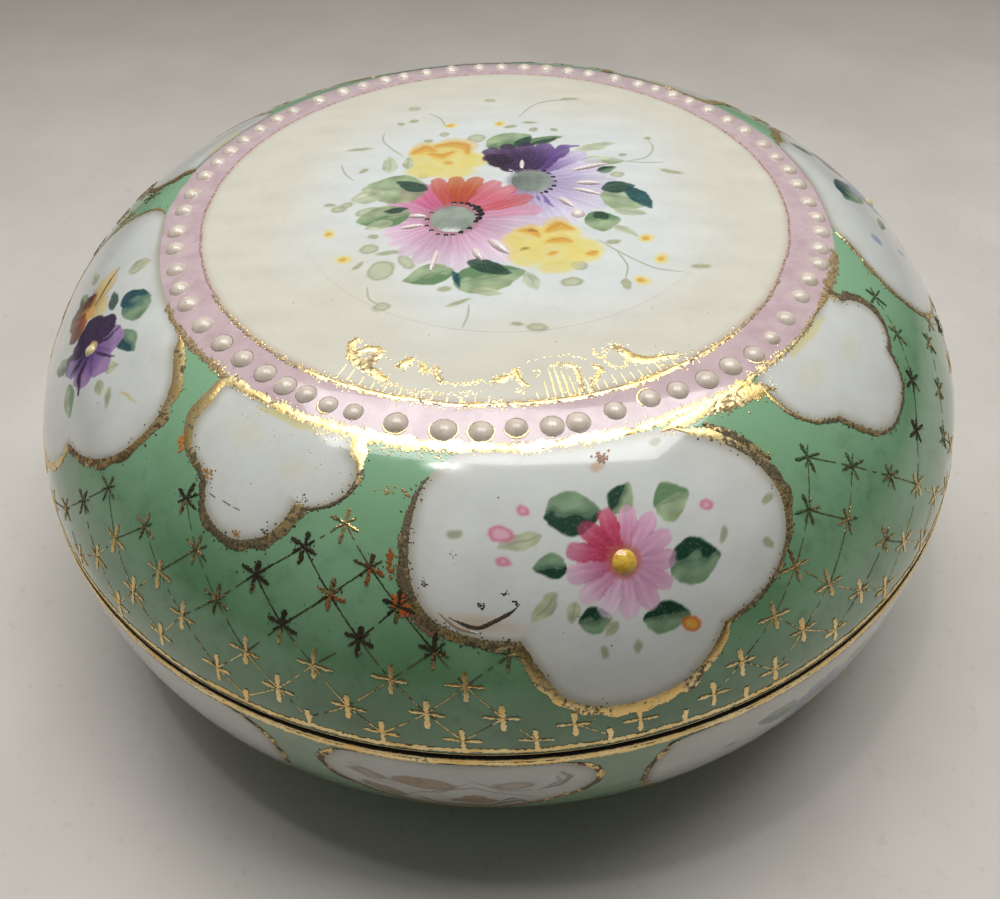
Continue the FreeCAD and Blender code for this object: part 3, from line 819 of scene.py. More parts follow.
def bouquet_paint(x, y, rest):
    art = medallion_start(x, y)
    yellow_blossom(
        art,
        [
            (-9.2, 6.2, 2.2, 1.6, 0), (-5.6, 5.8, 3.0, 1.7, 0), (-9.0, 9.4, 2.2, 2.4, 20),
            (-5.0, 9.2, 2.9, 2.6, -10), (-2.6, 8.6, 1.9, 1.8, 30), (-6.4, 11.4, 3.2, 2.2, 0),
            (-9.8, 11.6, 1.3, 1.1, 0),
        ],
        [
            ([(-10.9, 11.0), (-9.2, 12.3), (-8.0, 11.4)], 1.5),
            ([(-7.6, 12.6), (-5.4, 13.4), (-3.6, 12.4), (-3.4, 10.6)], 1.5),
            ([(-8.6, 10.6), (-6.8, 10.0), (-5.4, 10.8)], 1.1), ([(-6.6, 8.2), (-5.4, 7.8)], 0.6),
        ],
    )
    medallion_leaves(art, behind=True)

    # Lilac flower
    cx, cy = 4.9, 2.9
    purple, pale_purple, plum = rgb(84, 48, 122), rgb(190, 174, 214), rgb(40, 14, 44)
    art.daisy(
        cx, cy, 10.8, 23,
        [
            (-180, rgb(160, 132, 190), LILAC), (-90, pale_purple, LILAC), (36, pale_purple, LILAC),
            (50, purple, pale_purple), (62, purple, purple), (78, PLUM, purple), (100, PLUM, PLUM),
            (128, PLUM, PLUM), (150, PLUM, purple), (165, rgb(160, 132, 190), LILAC),
        ],
        turn=6.0, skip=(136, 222),
    )
    art.blob(0.9, 8.2, 1.7, 1.6, 30, plum, 0.95)
    art.blob(-0.2, 9.0, 1.2, 0.9, 20, rgb(48, 18, 50), 0.95)
    art.stroke([(0.9, 7.0), (2.0, 5.4)], 1.0, plum, 0.9)
    art.stroke([(7.0, 9.4), (9.4, 11.6), (11.6, 12.2)], 1.2, rgb(112, 80, 146), 0.7)
    art.stroke([(6.2, -0.4), (6.8, -2.0), (7.4, -3.2)], 0.5, VIOLET, 0.6)
    art.stroke([(5.4, -0.6), (5.8, -1.9)], 0.35, VIOLET, 0.5)
    art.blob(cx, cy, 3.2, 3.0, 0, rgb(150, 146, 160), 0.75, 0.5)

    # Pink flower
    cx, cy = -5.1, -5.5
    art.daisy(
        cx, cy, 10.3, 23,
        [
            (-180, ROSE, BLUSH), (0, ROSE, BLUSH), (14, ROSE, rgb(222, 128, 152)),
            (26, rgb(216, 96, 112), rgb(200, 84, 80)), (38, rgb(222, 110, 140), rgb(206, 92, 100)),
            (52, rgb(222, 104, 140), rgb(220, 116, 150)), (63, rgb(214, 92, 96), rgb(204, 92, 70)),
            (74, SCARLET, rgb(204, 92, 40)), (92, SCARLET, rgb(206, 96, 44)),
            (106, rgb(208, 74, 74), rgb(206, 92, 84)), (120, MAGENTA, rgb(214, 112, 152)),
            (140, MAGENTA, rgb(216, 128, 166)), (158, ROSE, rgb(224, 164, 192)),
        ],
        turn=2.0, lean=0.09,
    )
    art.blob(cx, cy, 3.6, 3.5, 0, rgb(176, 128, 140), 0.75, 0.5)
    medallion_leaves(art, behind=False)

    yellow_blossom(
        art,
        [
            (4.4, -9.8, 2.4, 2.4, 10), (8.0, -9.0, 2.4, 2.2, 0), (10.6, -12.0, 2.3, 1.9, -20),
            (7.0, -12.4, 3.4, 2.6, 0), (3.6, -13.4, 2.0, 2.0, 0), (10.2, -13.6, 2.0, 1.2, 0),
            (7.2, -15.6, 2.2, 1.2, 0), (2.2, -10.6, 1.2, 1.6, 0),
        ],
        [
            ([(3.0, -8.4), (4.4, -8.3), (5.4, -9.6)], 1.0), ([(6.4, -8.6), (7.8, -7.3), (9.4, -8.2)], 1.4),
            ([(6.2, -10.8), (8.0, -10.2), (9.2, -10.8)], 0.9), ([(11.0, -13.4), (12.0, -12.8)], 0.7),
            ([(6.2, -13.2), (7.4, -13.0)], 0.5),
        ],
    )
    art.blob(3.6, -12.0, 0.5, 0.3, 20, rgb(150, 126, 60), 0.7, 0.14)
    art.blob(4.6, -8.4, 0.6, 0.25, -10, rgb(130, 96, 50), 0.6, 0.14)
    for cx, cy in YELLOW_DOTS:
        art.blob(cx, cy, 1.0, 0.75, cx * 30, YELLOW, 0.8, 0.3)
        art.blob(cx - 0.1, cy, 0.45, 0.35, 0, ORANGE, 0.8, 0.2)
    return art.colour


patch("medallion_ground", on_top, disc(BAND_IN - 0.05), (0.0, 0.0), 0.34, 0.03, medallion_ground_paint, "lid")
patch(
    "medallion_bouquet", on_top, disc(26.4), (1.6, -0.4), 0.16, 0.045, bouquet_paint, "lid"
)

# ---------------------------------------------------------------------------
# White reserves on the lid's shoulder. x round the wall, y minus the distance from the apex, in mm.
# ---------------------------------------------------------------------------
# Each outline is a loop of runs that meet at sharp corners. A point is
# (x, distance from the apex, width of the gold line outside it, how worn the gold is).
FRONT_EDGE = [
    [
        (11.1, 45.1, 0.7, 0.40), (8.6, 43.7, 0.0, 0.5), (2.3, 43.1, 0.0, 0.5), (-6.8, 43.0, 0.0, 0.5),
        (-11.8, 43.3, 0.0, 0.5), (-14.6, 44.9, 0.0, 0.6), (-16.9, 47.4, 0.3, 0.62), (-18.5, 51.0, 0.9, 0.6),
        (-19.3, 54.6, 1.1, 0.6), (-19.1, 57.6, 1.2, 0.6), (-17.6, 60.0, 1.2, 0.56), (-13.8, 61.5, 1.0, 0.52),
        (-9.6, 61.9, 0.9, 0.52),
    ],
    [
        (-9.6, 61.9, 1.3, 0.48), (-7.9, 65.3, 1.4, 0.45), (-6.0, 68.2, 1.3, 0.46), (-2.8, 69.8, 1.3, 0.47),
        (1.5, 70.2, 1.4, 0.46), (6.2, 69.1, 1.4, 0.47), (9.3, 66.7, 1.2, 0.47), (11.2, 64.1, 0.8, 0.5),
    ],
    [
        (11.2, 64.1, 0.5, 0.58), (15.3, 62.8, 0.55, 0.58), (18.2, 60.6, 0.7, 0.5), (19.6, 57.6, 0.9, 0.52),
        (19.6, 54.4, 1.2, 0.58), (18.3, 51.4, 1.2, 0.58), (16.6, 49.2, 0.9, 0.54), (14.1, 47.0, 1.1, 0.46),
        (11.1, 45.1, 0.9, 0.40),
    ],
]
LARGE_EDGE = [
    [
        (12.5, 44.7, 1.3, 0.42), (9.8, 42.7, 0.0, 0.5), (0.0, 42.4, 0.0, 0.5), (-9.8, 42.7, 0.0, 0.5),
        (-13.2, 44.9, 0.5, 0.5), (-17.6, 48.4, 0.6, 0.5), (-20.2, 52.8, 0.6, 0.5), (-20.2, 56.6, 0.7, 0.45),
        (-17.8, 59.9, 0.8, 0.45), (-14.6, 61.6, 0.7, 0.45), (-11.7, 62.4, 0.7, 0.45),
    ],
    [
        (-11.7, 62.4, 0.9, 0.42), (-10.8, 65.7, 1.0, 0.42), (-8.4, 68.7, 1.0, 0.42), (-4.4, 70.5, 1.0, 0.42),
        (0.3, 71.0, 1.0, 0.42), (4.9, 70.4, 1.0, 0.42), (9.0, 68.4, 1.0, 0.42), (11.3, 65.6, 0.9, 0.42),
        (12.1, 62.4, 0.8, 0.45),
    ],
    [
        (12.1, 62.4, 0.8, 0.5), (15.4, 61.2, 0.9, 0.55), (18.6, 59.0, 1.1, 0.56), (20.5, 56.2, 1.0, 0.56),
        (20.7, 52.8, 0.8, 0.52), (19.3, 49.8, 1.1, 0.4), (16.4, 46.9, 1.3, 0.36), (12.5, 44.7, 1.3, 0.42),
    ],
]
LEFT_EDGE = [
    [
        (13.4, 44.4, 1.3, 0.44), (10.4, 42.7, 0.0, 0.5), (0.0, 42.3, 0.0, 0.5), (-12.8, 42.6, 0.0, 0.5),
        (-16.6, 44.2, 0.4, 0.5), (-19.2, 48.0, 0.5, 0.5), (-20.6, 52.6, 0.6, 0.5), (-20.2, 56.6, 0.7, 0.45),
        (-17.8, 59.9, 0.8, 0.45), (-14.6, 61.6, 0.7, 0.45), (-11.7, 62.4, 0.7, 0.45),
    ],
    LARGE_EDGE[1],
    [
        (12.1, 62.4, 0.8, 0.5), (15.7, 61.3, 1.0, 0.55), (19.0, 59.2, 1.2, 0.56), (21.1, 56.4, 1.1, 0.56),
        (21.5, 52.8, 1.0, 0.50), (20.3, 49.6, 1.2, 0.44), (17.4, 46.6, 1.3, 0.44), (13.4, 44.4, 1.3, 0.46),
    ],
]
LEFT_TREFOIL_EDGE = [
    [
        (7.5, 43.1, 0.0, 0.4), (0.0, 42.9, 0.0, 0.4), (-8.4, 43.1, 1.2, 0.42), (-9.4, 45.8, 1.6, 0.42),
        (-9.9, 48.3, 1.5, 0.44), (-9.0, 50.5, 1.2, 0.46), (-7.0, 51.7, 0.8, 0.58), (-5.2, 53.0, 0.7, 0.6),
    ],
    [
        (-5.2, 53.0, 0.9, 0.58), (-4.1, 55.3, 1.0, 0.58), (-1.9, 56.6, 1.0, 0.6), (0.8, 56.8, 1.1, 0.6),
        (3.6, 55.4, 1.1, 0.58), (4.9, 53.5, 1.3, 0.56), (5.4, 51.2, 1.5, 0.56),
    ],
    [
        (5.4, 51.2, 0.8, 0.58), (7.2, 51.2, 0.4, 0.58), (9.4, 49.9, 0.4, 0.58), (10.2, 47.8, 0.5, 0.56),
        (9.6, 46.1, 0.9, 0.42), (8.3, 44.9, 1.6, 0.30), (7.5, 43.4, 1.9, 0.28),
    ],
]
RIGHT_TREFOIL_EDGE = [
    [
        (8.5, 43.0, 0.0, 0.5), (0.0, 42.6, 0.0, 0.5), (-8.8, 43.0, 0.0, 0.5), (-9.8, 46.2, 0.6, 0.40),
        (-9.4, 48.7, 0.5, 0.56), (-8.0, 50.5, 0.45, 0.58), (-5.2, 51.8, 0.6, 0.56),
    ],
    [
        (-5.2, 51.8, 0.8, 0.5), (-3.8, 54.0, 0.7, 0.5), (-2.0, 56.1, 0.6, 0.52), (0.8, 57.3, 0.4, 0.6),
        (4.5, 56.8, 0.4, 0.62), (7.3, 55.2, 0.5, 0.62), (8.6, 52.2, 0.7, 0.62),
    ],
    [
        (8.6, 52.2, 0.6, 0.62), (10.9, 51.3, 0.7, 0.62), (12.0, 48.9, 1.2, 0.6), (11.0, 46.2, 1.3, 0.58),
        (9.2, 44.6, 1.2, 0.56), (8.5, 43.0, 1.2, 0.56),
    ],
]
LARGE_CENTRE = (0.6, -54.0)
SMALL_CENTRE = (0.2, -48.6)


def reserve_ground(x, y, rest, seed):
    """White ground, soiled along its edge. rest: distance of each point from the edge."""
    ground = np.tile(rgb(221, 223, 217), (len(x), 1))
    ground = ground * (1 + 0.014 * ripple(x, y, seed, 6.0))[:, None]
    art = Painting(x, y, ground)
    art.lay(line_mask(rest, 0.75) * 0.5, GREY_BROWN)
    art.lay(line_mask(rest, 2.6) * (0.10 + 0.06 * ripple(x, y, seed + 1, 4.0)), rgb(180, 172, 150))
    return art


def front_paint(x, y, rest):
    """Pink flower with a crimson side."""
    art = reserve_ground(x, y, rest, 51)
    art.leaves([
        (-5.4, -49.8, 0.3, -50.2, 2.2, LEAF_MID, LEAF_DARK, -1),
        (1.4, -50.6, 3.6, -47.9, 1.3, LEAF, LEAF_DARK, 1),
        (5.4, -50.9, 9.3, -50.6, 2.0, LEAF, LEAF_MID, 1),
        (5.8, -56.8, 11.6, -57.3, 2.3, LEAF_MID, LEAF_DARK, 1),
        (2.5, -61.4, 7.5, -61.9, 1.6, LEAF_MID, LEAF_DARK, 1),
        (-3.8, -60.6, -0.5, -60.3, 1.3, LEAF_MID, LEAF_DARK, 1),
        (-4.0, -54.8, -7.3, -54.8, 1.2, LEAF_MID, LEAF_DARK, 1),
        (-5.9, -51.7, -10.4, -52.8, 0.8, OLIVE, None, 1),
        (-5.4, -57.4, -8.4, -60.1, 0.8, OLIVE, None, 1),
        (-3.8, -58.4, -4.6, -60.5, 0.6, OLIVE, None, 1),
        (0.0, -61.0, -1.5, -62.1, 0.6, OLIVE, None, 1),
    ])
    cx, cy = 1.5, -55.4
    art.daisy(
        cx, cy, 5.6, 13,
        [
            (-180, MAGENTA, ROSE), (-120, ROSE, BLUSH), (-60, ROSE, ROSE), (60, ROSE, ROSE),
            (90, MAGENTA, ROSE), (105, CRIMSON, CRIMSON), (160, CRIMSON, MAGENTA),
        ],
        turn=5.0, notch=0.26, seam=0.34,
    )
    art.blob(cx, cy, 1.7, 1.7, 0, rgb(190, 110, 90), 0.7, 0.3)
    for cx, cy, rx in [(-9.8, -51.5, 1.1), (-7.2, -49.4, 0.6), (-10.1, -54.1, 0.6), (11.0, -52.2, 0.7)]:
        art.blob(cx, cy, rx, rx * 0.7, -10, rgb(232, 172, 190), 0.85, 0.2, MAGENTA)
    art.blob(7.4, -63.0, 1.1, 0.8, -40, ORANGE, 0.9, 0.2, SCARLET)
    art.blob(0.8, -45.8, 0.7, 0.45, 0, rgb(190, 104, 40), 0.35, 0.25)
    for cx, cy in [
        (7.2, -44.7), (-14.2, -51.5), (12.1, -55.6), (18.0, -54.3), (17.1, -58.3), (1.7, -63.9),
        (-1.7, -63.8),
    ]:
        art.blob(cx, cy, 0.7, 0.4, cx * 50, OLIVE * 0.9, 0.8, 0.14)
    art.blob(-13.0, -60.0, 3.4, 0.7, -8, rgb(196, 150, 104), 0.35, 0.6)
    return art.colour


def pansy_paint(x, y, rest):
    """Cream and brown pansy beside a purple one."""
    art = reserve_ground(x, y, rest, 61)
    art.leaves([
        (1.0, -48.2, 0.4, -43.9, 3.2, LEAF_MID, TEAL_DARK, 1),
        (3.8, -48.9, 8.3, -48.1, 1.3, LEAF_MID, TEAL_DARK, -1),
        (-1.0, -49.2, -4.4, -48.9, 0.8, LEAF_DARK, None, 1),
        (-6.6, -46.8, -6.2, -43.4, 1.2, OLIVE, None, 1),
        (-7.2, -54.4, -10.6, -55.4, 0.9, LEAF_MID, LEAF_DARK, 1),
        (-10.0, -52.6, -13.2, -53.6, 0.6, OLIVE, None, 1),
        (3.4, -58.8, 8.2, -60.4, 1.3, LEAF, LEAF_MID, 1),
        (0.6, -58.2, -2.6, -61.6, 1.2, LEAF_MID, LEAF_DARK, 1),
        (7.6, -52.8, 8.4, -50.8, 0.8, OLIVE, None, 1),
        (8.2, -54.0, 10.4, -54.6, 0.7, OLIVE, None, 1),
        (10.4, -53.0, 13.0, -54.8, 0.5, OLIVE, None, 1),
    ], shift=1.4)
    art.blob(6.4, -49.5, 0.75, 0.6, 0, LEAF_DARK, 0.9, 0.15)

    cream, brown = rgb(232, 212, 150), rgb(86, 34, 12)
    cx, cy = -3.1, -53.2
    for turn, reach, half, inner, outer in [
        (138, 6.4, 1.9, rgb(222, 180, 100), cream), (60, 3.6, 1.6, rgb(226, 190, 120), cream),
        (232, 5.4, 2.0, rgb(176, 96, 40), brown), (286, 4.8, 1.6, rgb(190, 96, 40), brown),
        (190, 3.8, 1.5, rgb(214, 160, 84), brown),
    ]:
        art.petal(cx, cy, turn, 0.3, reach, half, inner, outer, 0.93)
    for width, *points in [
        (0.4, (-4.6, 4.7), (-2.8, 3.4), (-0.7, 0.9)), (0.4, (-4.2, 0.6), (-2.2, -0.2), (-0.5, 0.0)),
        (0.7, (-0.4, -0.9), (-1.7, -3.0), (-3.4, -3.9)),
    ]:
        art.stroke([(cx + a, cy + b) for a, b in points], width, brown, 0.7)
    art.blob(cx, cy, 0.95, 0.85, 0, rgb(238, 178, 92), 0.95, 0.2)

    cx, cy = 3.7, -53.4
    pale = rgb(168, 134, 180)
    for turn, reach, half, inner, outer in [
        (62, 5.4, 2.0, rgb(120, 84, 150), pale), (8, 5.6, 1.9, rgb(112, 76, 146), pale),
        (-44, 5.8, 1.9, VIOLET, pale), (-104, 5.8, 2.0, rgb(112, 84, 150), rgb(140, 112, 176)),
        (122, 4.8, 2.0, PLUM, rgb(44, 18, 58)), (180, 5.4, 2.4, PLUM, rgb(40, 16, 54)),
        (226, 4.8, 1.6, PLUM, rgb(58, 30, 78)),
    ]:
        art.petal(cx, cy, turn, 0.3, reach, half, inner, outer, 0.95)
    for width, *points in [
        (0.4, (0.2, 0.6), (0.9, 2.8), (0.6, 4.6)), (0.35, (0.7, 0.0), (3.0, 1.4), (4.6, 2.6)),
        (0.9, (0.6, -0.6), (2.2, -3.2), (4.6, -4.2)), (1.3, (-0.8, -0.4), (-3.0, -1.6), (-4.8, -0.8)),
        (1.1, (-0.6, 0.8), (-2.6, 1.6), (-4.6, 0.9)), (1.1, (-1.4, -2.0), (-2.8, -4.8), (-1.0, -5.6)),
        (0.9, (0.1, -1.4), (0.3, -4.6)),
    ]:
        art.stroke([(cx + a, cy + b) for a, b in points], width, PLUM, 0.9)
    art.blob(cx, cy, 0.95, 0.9, 0, rgb(226, 200, 130), 0.95, 0.2)
    art.stroke([(13.7, -52.3), (17.0, -51.2)], 0.35, rgb(206, 184, 120), 0.6)
    return art.colour


def blue_paint(x, y, rest):
    """Blue and plum flowers side by side."""
    art = reserve_ground(x, y, rest, 71)
    art.leaves([
        (4.6, -51.6, -1.8, -47.4, 2.6, LEAF_MID, TEAL_DARK, -1),
        (-2.0, -54.0, -5.6, -52.6, 0.8, LEAF_MID, LEAF_DARK, 1),
        (5.0, -60.6, 8.6, -64.6, 1.9, LEAF_MID, LEAF_DARK, 1),
        (1.0, -59.6, -3.4, -62.0, 1.3, LEAF, LEAF_MID, 1),
        (11.4, -49.6, 13.0, -46.4, 1.5, LEAF, LEAF_DARK, 1),
        (13.4, -57.4, 16.6, -59.0, 1.2, LEAF_MID, LEAF_DARK, -1),
        (-3.0, -57.0, -7.4, -58.4, 0.6, OLIVE, None, 1),
    ])
    blue = rgb(64, 84, 140), rgb(140, 158, 196)
    plum = rgb(44, 18, 34), rgb(104, 56, 84)
    for turn, reach, half in [
        (100, 4.6, 1.8), (40, 4.6, 1.7), (-20, 4.8, 1.8), (-84, 5.0, 1.8), (-144, 5.0, 1.8), (162, 4.8, 1.8),
    ]:
        art.petal(4.3, -55.6, turn, 0.4, reach, half, *blue, 0.95)
    for turn, reach, half in [
        (120, 4.6, 1.8), (56, 4.6, 1.8), (0, 4.6, 1.8), (-64, 5.2, 1.9), (-128, 4.8, 1.9),
    ]:
        art.petal(10.6, -54.0, turn, 0.4, reach, half, *plum, 0.95)
    art.blob(10.6, -54.0, 0.9, 0.85, 0, YELLOW, 0.95, 0.2)
    for cx, cy in [(-9.6, -50.0), (-8.6, -55.5), (-3.0, -60.0)]:
        art.blob(cx, cy, 1.0, 0.7, cx * 50, rgb(150, 170, 190), 0.8, 0.2)
    return art.colour


def small_paint(x, y, rest):
    """White ground with faint yellow stains."""
    art = reserve_ground(x, y, rest, 81)
    art.blob(-3.6, -46.6, 2.4, 1.6, 0, rgb(226, 214, 170), 0.22, 0.9)
    art.blob(3.6, -48.0, 2.0, 1.2, 0, rgb(226, 214, 170), 0.22, 0.8)
    art.stroke([(-3.6, -43.6), (0.0, -43.4), (4.6, -43.7)], 1.0, rgb(224, 208, 120), 0.5)
    return art.colour


lid_gold = Strokes()
bowl_gold = Strokes()
lid_marks = Strokes()
# Colours left where gold is rubbed away, save the last, which is painted shade in the joint between lid and
# bowl
UNDER = rgb(118, 94, 58)
FRONT_UNDER = rgb(114, 102, 76)
# Dark brown of the crosses in the middle of the wall: partly worn gold, partly painted dark reflection
DARK_WEAR_AND_REFLECTION = rgb(58, 54, 32)
LINE_UNDER = rgb(104, 104, 66)
CREAM_UNDER = rgb(208, 198, 166)
PINK_UNDER = rgb(204, 176, 170)
# Painted shade: near-black brown laid in the groove where lid meets bowl
GAP_SHADE = rgb(40, 30, 20)
# Marks and soil carry no gold
NO_GOLD = 1.0

for stem in STEMS:
    path = through([(*p, 0.0) for p in stem])[:, :2]
    lid_marks.ribbon(
        on_top, path, 0.26, rgb(192, 194, 170), NO_GOLD, low=0.05, high=0.06, step=0.3, taper=True
    )
for cx, cy, size in EYE_DOTS:
    lid_marks.dab(on_top, cx, cy, size * 1.2, size, cx * 70, rgb(30, 16, 28), NO_GOLD, 0.045, 0.10)


def stretches(shown):
    """First and past-the-last index of each run of true values."""
    edges = np.flatnonzero(np.diff(np.concatenate([[0], shown.astype(int), [0]])))
    return zip(edges[::2], edges[1::2])


def outline(gold, profile, azimuth, runs, seed, under=UNDER, crumbs=2.4):
    """Gold line just outside a reserve, run by run, shedding crumbs along its edges."""
    place = shoulder(profile, azimuth, 0.0)
    for number, run in enumerate(runs):
        line = through(run, 16)
        x, y, width, wear = line[:, 0], -line[:, 1], line[:, 2], line[:, 3]
        dx, dy = np.gradient(x), np.gradient(y)
        size = np.maximum(np.hypot(dx, dy), 1e-9)
        width = width * (1 + 0.2 * ripple(x, y, seed + number, 2.2))
        x, y = x + dy / size * (width * 0.5 - 0.1), y - dx / size * (width * 0.5 - 0.1)
        for start, stop in stretches(width > 0.12):
            if stop - start <= 3:
                continue
            part = slice(start, stop)
            path = np.stack([x[part], y[part]], 1)
            gold.ribbon(
                place, path, width[part], under, wear[part], ragged=0.09, seed=seed + number, across=5
            )
            broad, worn = float(width[part].mean()), float(wear[part].mean())
            count = int(float(np.hypot(*np.diff(path, axis=0).T).sum()) * crumbs)
            dull = worn > 0.47
            tone = under * 0.62 if dull else under
            gold.spray(place, path, 0.36 * broad + 0.12, count, 0.15, tone, worn + 0.04, seed + number)
            if dull and gold is lid_gold:
                soil = under * 0.45
                lid_marks.spray(place, path, 0.30 * broad + 0.16, count, 0.13, soil, NO_GOLD, seed + 5)


# Name, azimuth, outline, centre, paint, step between painted points, colour under the gold outline
LID_RESERVES = [
    ("front_reserve", 11.0, FRONT_EDGE, LARGE_CENTRE, front_paint, 0.15, FRONT_UNDER),
    ("left_reserve", -71.6, LEFT_EDGE, LARGE_CENTRE, pansy_paint, 0.17, UNDER),
    ("right_reserve", 96.0, LARGE_EDGE, LARGE_CENTRE, blue_paint, 0.18, UNDER),
    ("back_reserve", -168.0, FRONT_EDGE, LARGE_CENTRE, front_paint, 0.18, UNDER),
    ("front_left_trefoil", -30.0, LEFT_TREFOIL_EDGE, SMALL_CENTRE, small_paint, 0.22, FRONT_UNDER),
    ("front_right_trefoil", 51.5, RIGHT_TREFOIL_EDGE, SMALL_CENTRE, small_paint, 0.22, FRONT_UNDER),
    ("back_right_trefoil", 143.5, LEFT_TREFOIL_EDGE, SMALL_CENTRE, small_paint, 0.22, UNDER),
    ("back_left_trefoil", -118.0, RIGHT_TREFOIL_EDGE, SMALL_CENTRE, small_paint, 0.22, UNDER),
]
# How far painted reserves stand off the glaze, in mm
RESERVE_LIFT = 0.035
KEEP_CLEAR = []
for number, (name, azimuth, runs, centre, paint, step, under) in enumerate(LID_RESERVES):
    reach = reach_of(runs, centre)
    fine = step * 1
    patch(name, shoulder(LID, azimuth, 0.0), reach, centre, fine, RESERVE_LIFT, paint, "lid")
    outline(lid_gold, LID, azimuth, runs, 110 + 10 * number, under)
    KEEP_CLEAR.append((azimuth, reach, centre))


def wall_angle(a, b):
    """Turn from azimuth b to azimuth a, between -180 and 180."""
    return (a - b + 180.0) % 360.0 - 180.0


def radius_at(profile, s):
    return float(np.interp(s, profile.s, profile.r))


def covered(azimuth, s, margin):
    """Whether a point of the lid's wall is inside a white reserve, or within the margin of one."""
    for az0, reach, centre in KEEP_CLEAR:
        dx = math.radians(wall_angle(azimuth, az0)) * radius_at(LID, s) - centre[0]
        dy = -s - centre[1]
        if math.hypot(dx, dy) < np.interp(math.atan2(dy, dx), DIRECTIONS, reach) + margin:
            return True
    return False


# ---------------------------------------------------------------------------
# Gold lattice of crosses on the green wall
# ---------------------------------------------------------------------------
# Crosses at the front, listed one by one: (azimuth, distance from the apex, look)
# Looks: g gold, d dark from wear and painted dark reflection, r rusty, f faint, p faint and greener, h short
# dash
FRONT_CROSSES = [
    (-17.4, 51.8, "f"), (38.0, 52.8, "p"), (45.0, 52.6, "p"), (65.5, 52.8, "p"), (69.3, 48.7, "p"),
    (-37.2, 55.5, "d"), (-21.3, 55.0, "d"), (-13.8, 55.5, "r"), (43.0, 56.6, "p"), (34.8, 57.4, "p"),
    (61.0, 56.9, "d"), (-48.8, 60.6, "f"), (-41.2, 60.8, "f"), (-33.6, 59.6, "f"), (-25.9, 59.2, "d"),
    (-17.5, 58.9, "r"), (-10.4, 58.8, "d"), (47.8, 60.9, "f"), (39.2, 61.0, "f"), (56.0, 60.7, "d"),
    (70.9, 58.8, "p"), (30.9, 61.9, "g"), (-52.5, 65.0, "f"), (-45.0, 64.8, "g"), (-37.5, 64.2, "g"),
    (-29.7, 63.5, "f"), (-22.0, 63.3, "d"), (-14.0, 62.7, "d"), (-6.7, 62.9, "d"), (0.4, 63.0, "f"),
    (66.0, 62.5, "f"), (-33.5, 67.4, "g"), (-25.5, 67.8, "g"), (-18.3, 66.6, "g"), (-10.7, 66.4, "g"),
    (-3.7, 66.4, "g"), (27.1, 65.8, "g"), (34.4, 66.0, "g"), (43.6, 66.5, "f"), (52.0, 65.2, "g"),
    (61.6, 66.4, "f"), (-56.4, 69.4, "f"), (-47.7, 69.2, "g"), (-40.8, 68.8, "g"), (-28.8, 71.6, "g"),
    (-21.9, 70.9, "g"), (-14.8, 70.6, "g"), (-7.3, 69.9, "g"), (-0.3, 70.2, "g"), (22.9, 69.3, "g"),
    (30.2, 69.3, "g"), (38.5, 69.6, "g"), (46.8, 69.3, "g"), (55.5, 69.8, "g"), (64.0, 69.6, "g"),
    (-52.0, 72.6, "g"), (-43.4, 72.8, "g"), (-36.4, 71.9, "g"), (-25.6, 73.9, "h"), (-18.8, 73.6, "h"),
    (-11.5, 73.4, "g"), (-4.0, 73.4, "g"), (2.7, 73.4, "g"), (6.2, 71.6, "g"), (12.4, 72.6, "g"),
    (19.8, 72.2, "g"), (26.7, 72.6, "g"), (34.6, 72.4, "g"), (42.8, 72.7, "g"), (51.2, 72.8, "g"),
    (60.0, 72.8, "g"), (9.5, 74.0, "h"), (16.9, 74.1, "h"), (23.4, 74.1, "h"),
]
# The rest of the wall: rows of the same lattice, worn by chance. Rows are distances from the apex.
LATTICE_COUNT = 50
LATTICE_STEP = 360 / LATTICE_COUNT
LATTICE_ROWS = [47.9, 51.6, 55.4, 59.2, 62.9, 66.4, 69.8, 73.0]
# Azimuths between which the crosses are those laid out above
DRAWN_FROM, DRAWN_TO = -60.0, 74.0
crosses = list(FRONT_CROSSES)
rng = np.random.default_rng(7)
for row, s in enumerate(LATTICE_ROWS):
    for k in range(LATTICE_COUNT):
        azimuth = wall_angle(LATTICE_STEP * k + (LATTICE_STEP / 2 if row % 2 else 0.0), 0.0)
        if DRAWN_FROM < azimuth < DRAWN_TO:
            continue
        aside, down, luck = rng.uniform(-1, 1, 3)
        # Dark crosses fall only in the middle band of the wall: painted dark reflection as well as wear
        look = "r" if luck > 0.93 else "f" if luck > 0.7 else "d" if 52 < s < 64 and luck < -0.2 else "g"
        crosses.append((azimuth + 0.35 * aside, s + 0.3 * down, look))
# Colour under the gold of each look, and how worn the gold is
LOOKS = {
    "g": (UNDER, 0.31), "d": (DARK_WEAR_AND_REFLECTION, 0.56), "r": (rgb(84, 74, 42), 0.58), "f": (rgb(92, 92, 56), 0.55),
    "h": (UNDER, 0.33), "p": (rgb(74, 96, 60), 0.58),
}
RUSTY_ARM = rgb(150, 92, 46)
# Arms of a cross: end point and width near the tip. Dark worn crosses show two more arms.
BRIGHT_ARMS = [(-0.1, 1.65, 0.62), (0.1, -1.75, 0.56), (-1.85, 0.12, 0.42), (1.85, -0.12, 0.42)]
DARK_ARMS = [
    (0.1, 1.6, 0.6), (-0.1, -1.8, 0.5), (-1.65, 0.4, 0.46), (1.65, -0.5, 0.46), (-0.9, -0.8, 0.26),
    (1.0, 0.9, 0.26),
]
# A cross is joined to those this far round (degrees) and down (mm) from it
NEAR_TURN = (2.2, 5.6)
NEAR_FALL = (2.0, 5.2)
# Widths of such a line, from either end to the middle
LINE_PARTS = 8
DARK_LINE = (0.28, 0.2, 0.15, 0.12)
GOLD_LINE = (0.2, 0.16, 0.13, 0.12)


def draw_dash(place, tone, wear, j, seed):
    """Short upright dash close to the rim."""
    points = [(0.15 * j[1], 1.0), (0.1 * j[2], 0.2), (0, -0.9)]
    lid_gold.ribbon(
        place, points, [0.5, 0.6, 0.4], tone, wear, low=0.04, high=0.10, step=0.15, ragged=0.07, seed=seed
    )


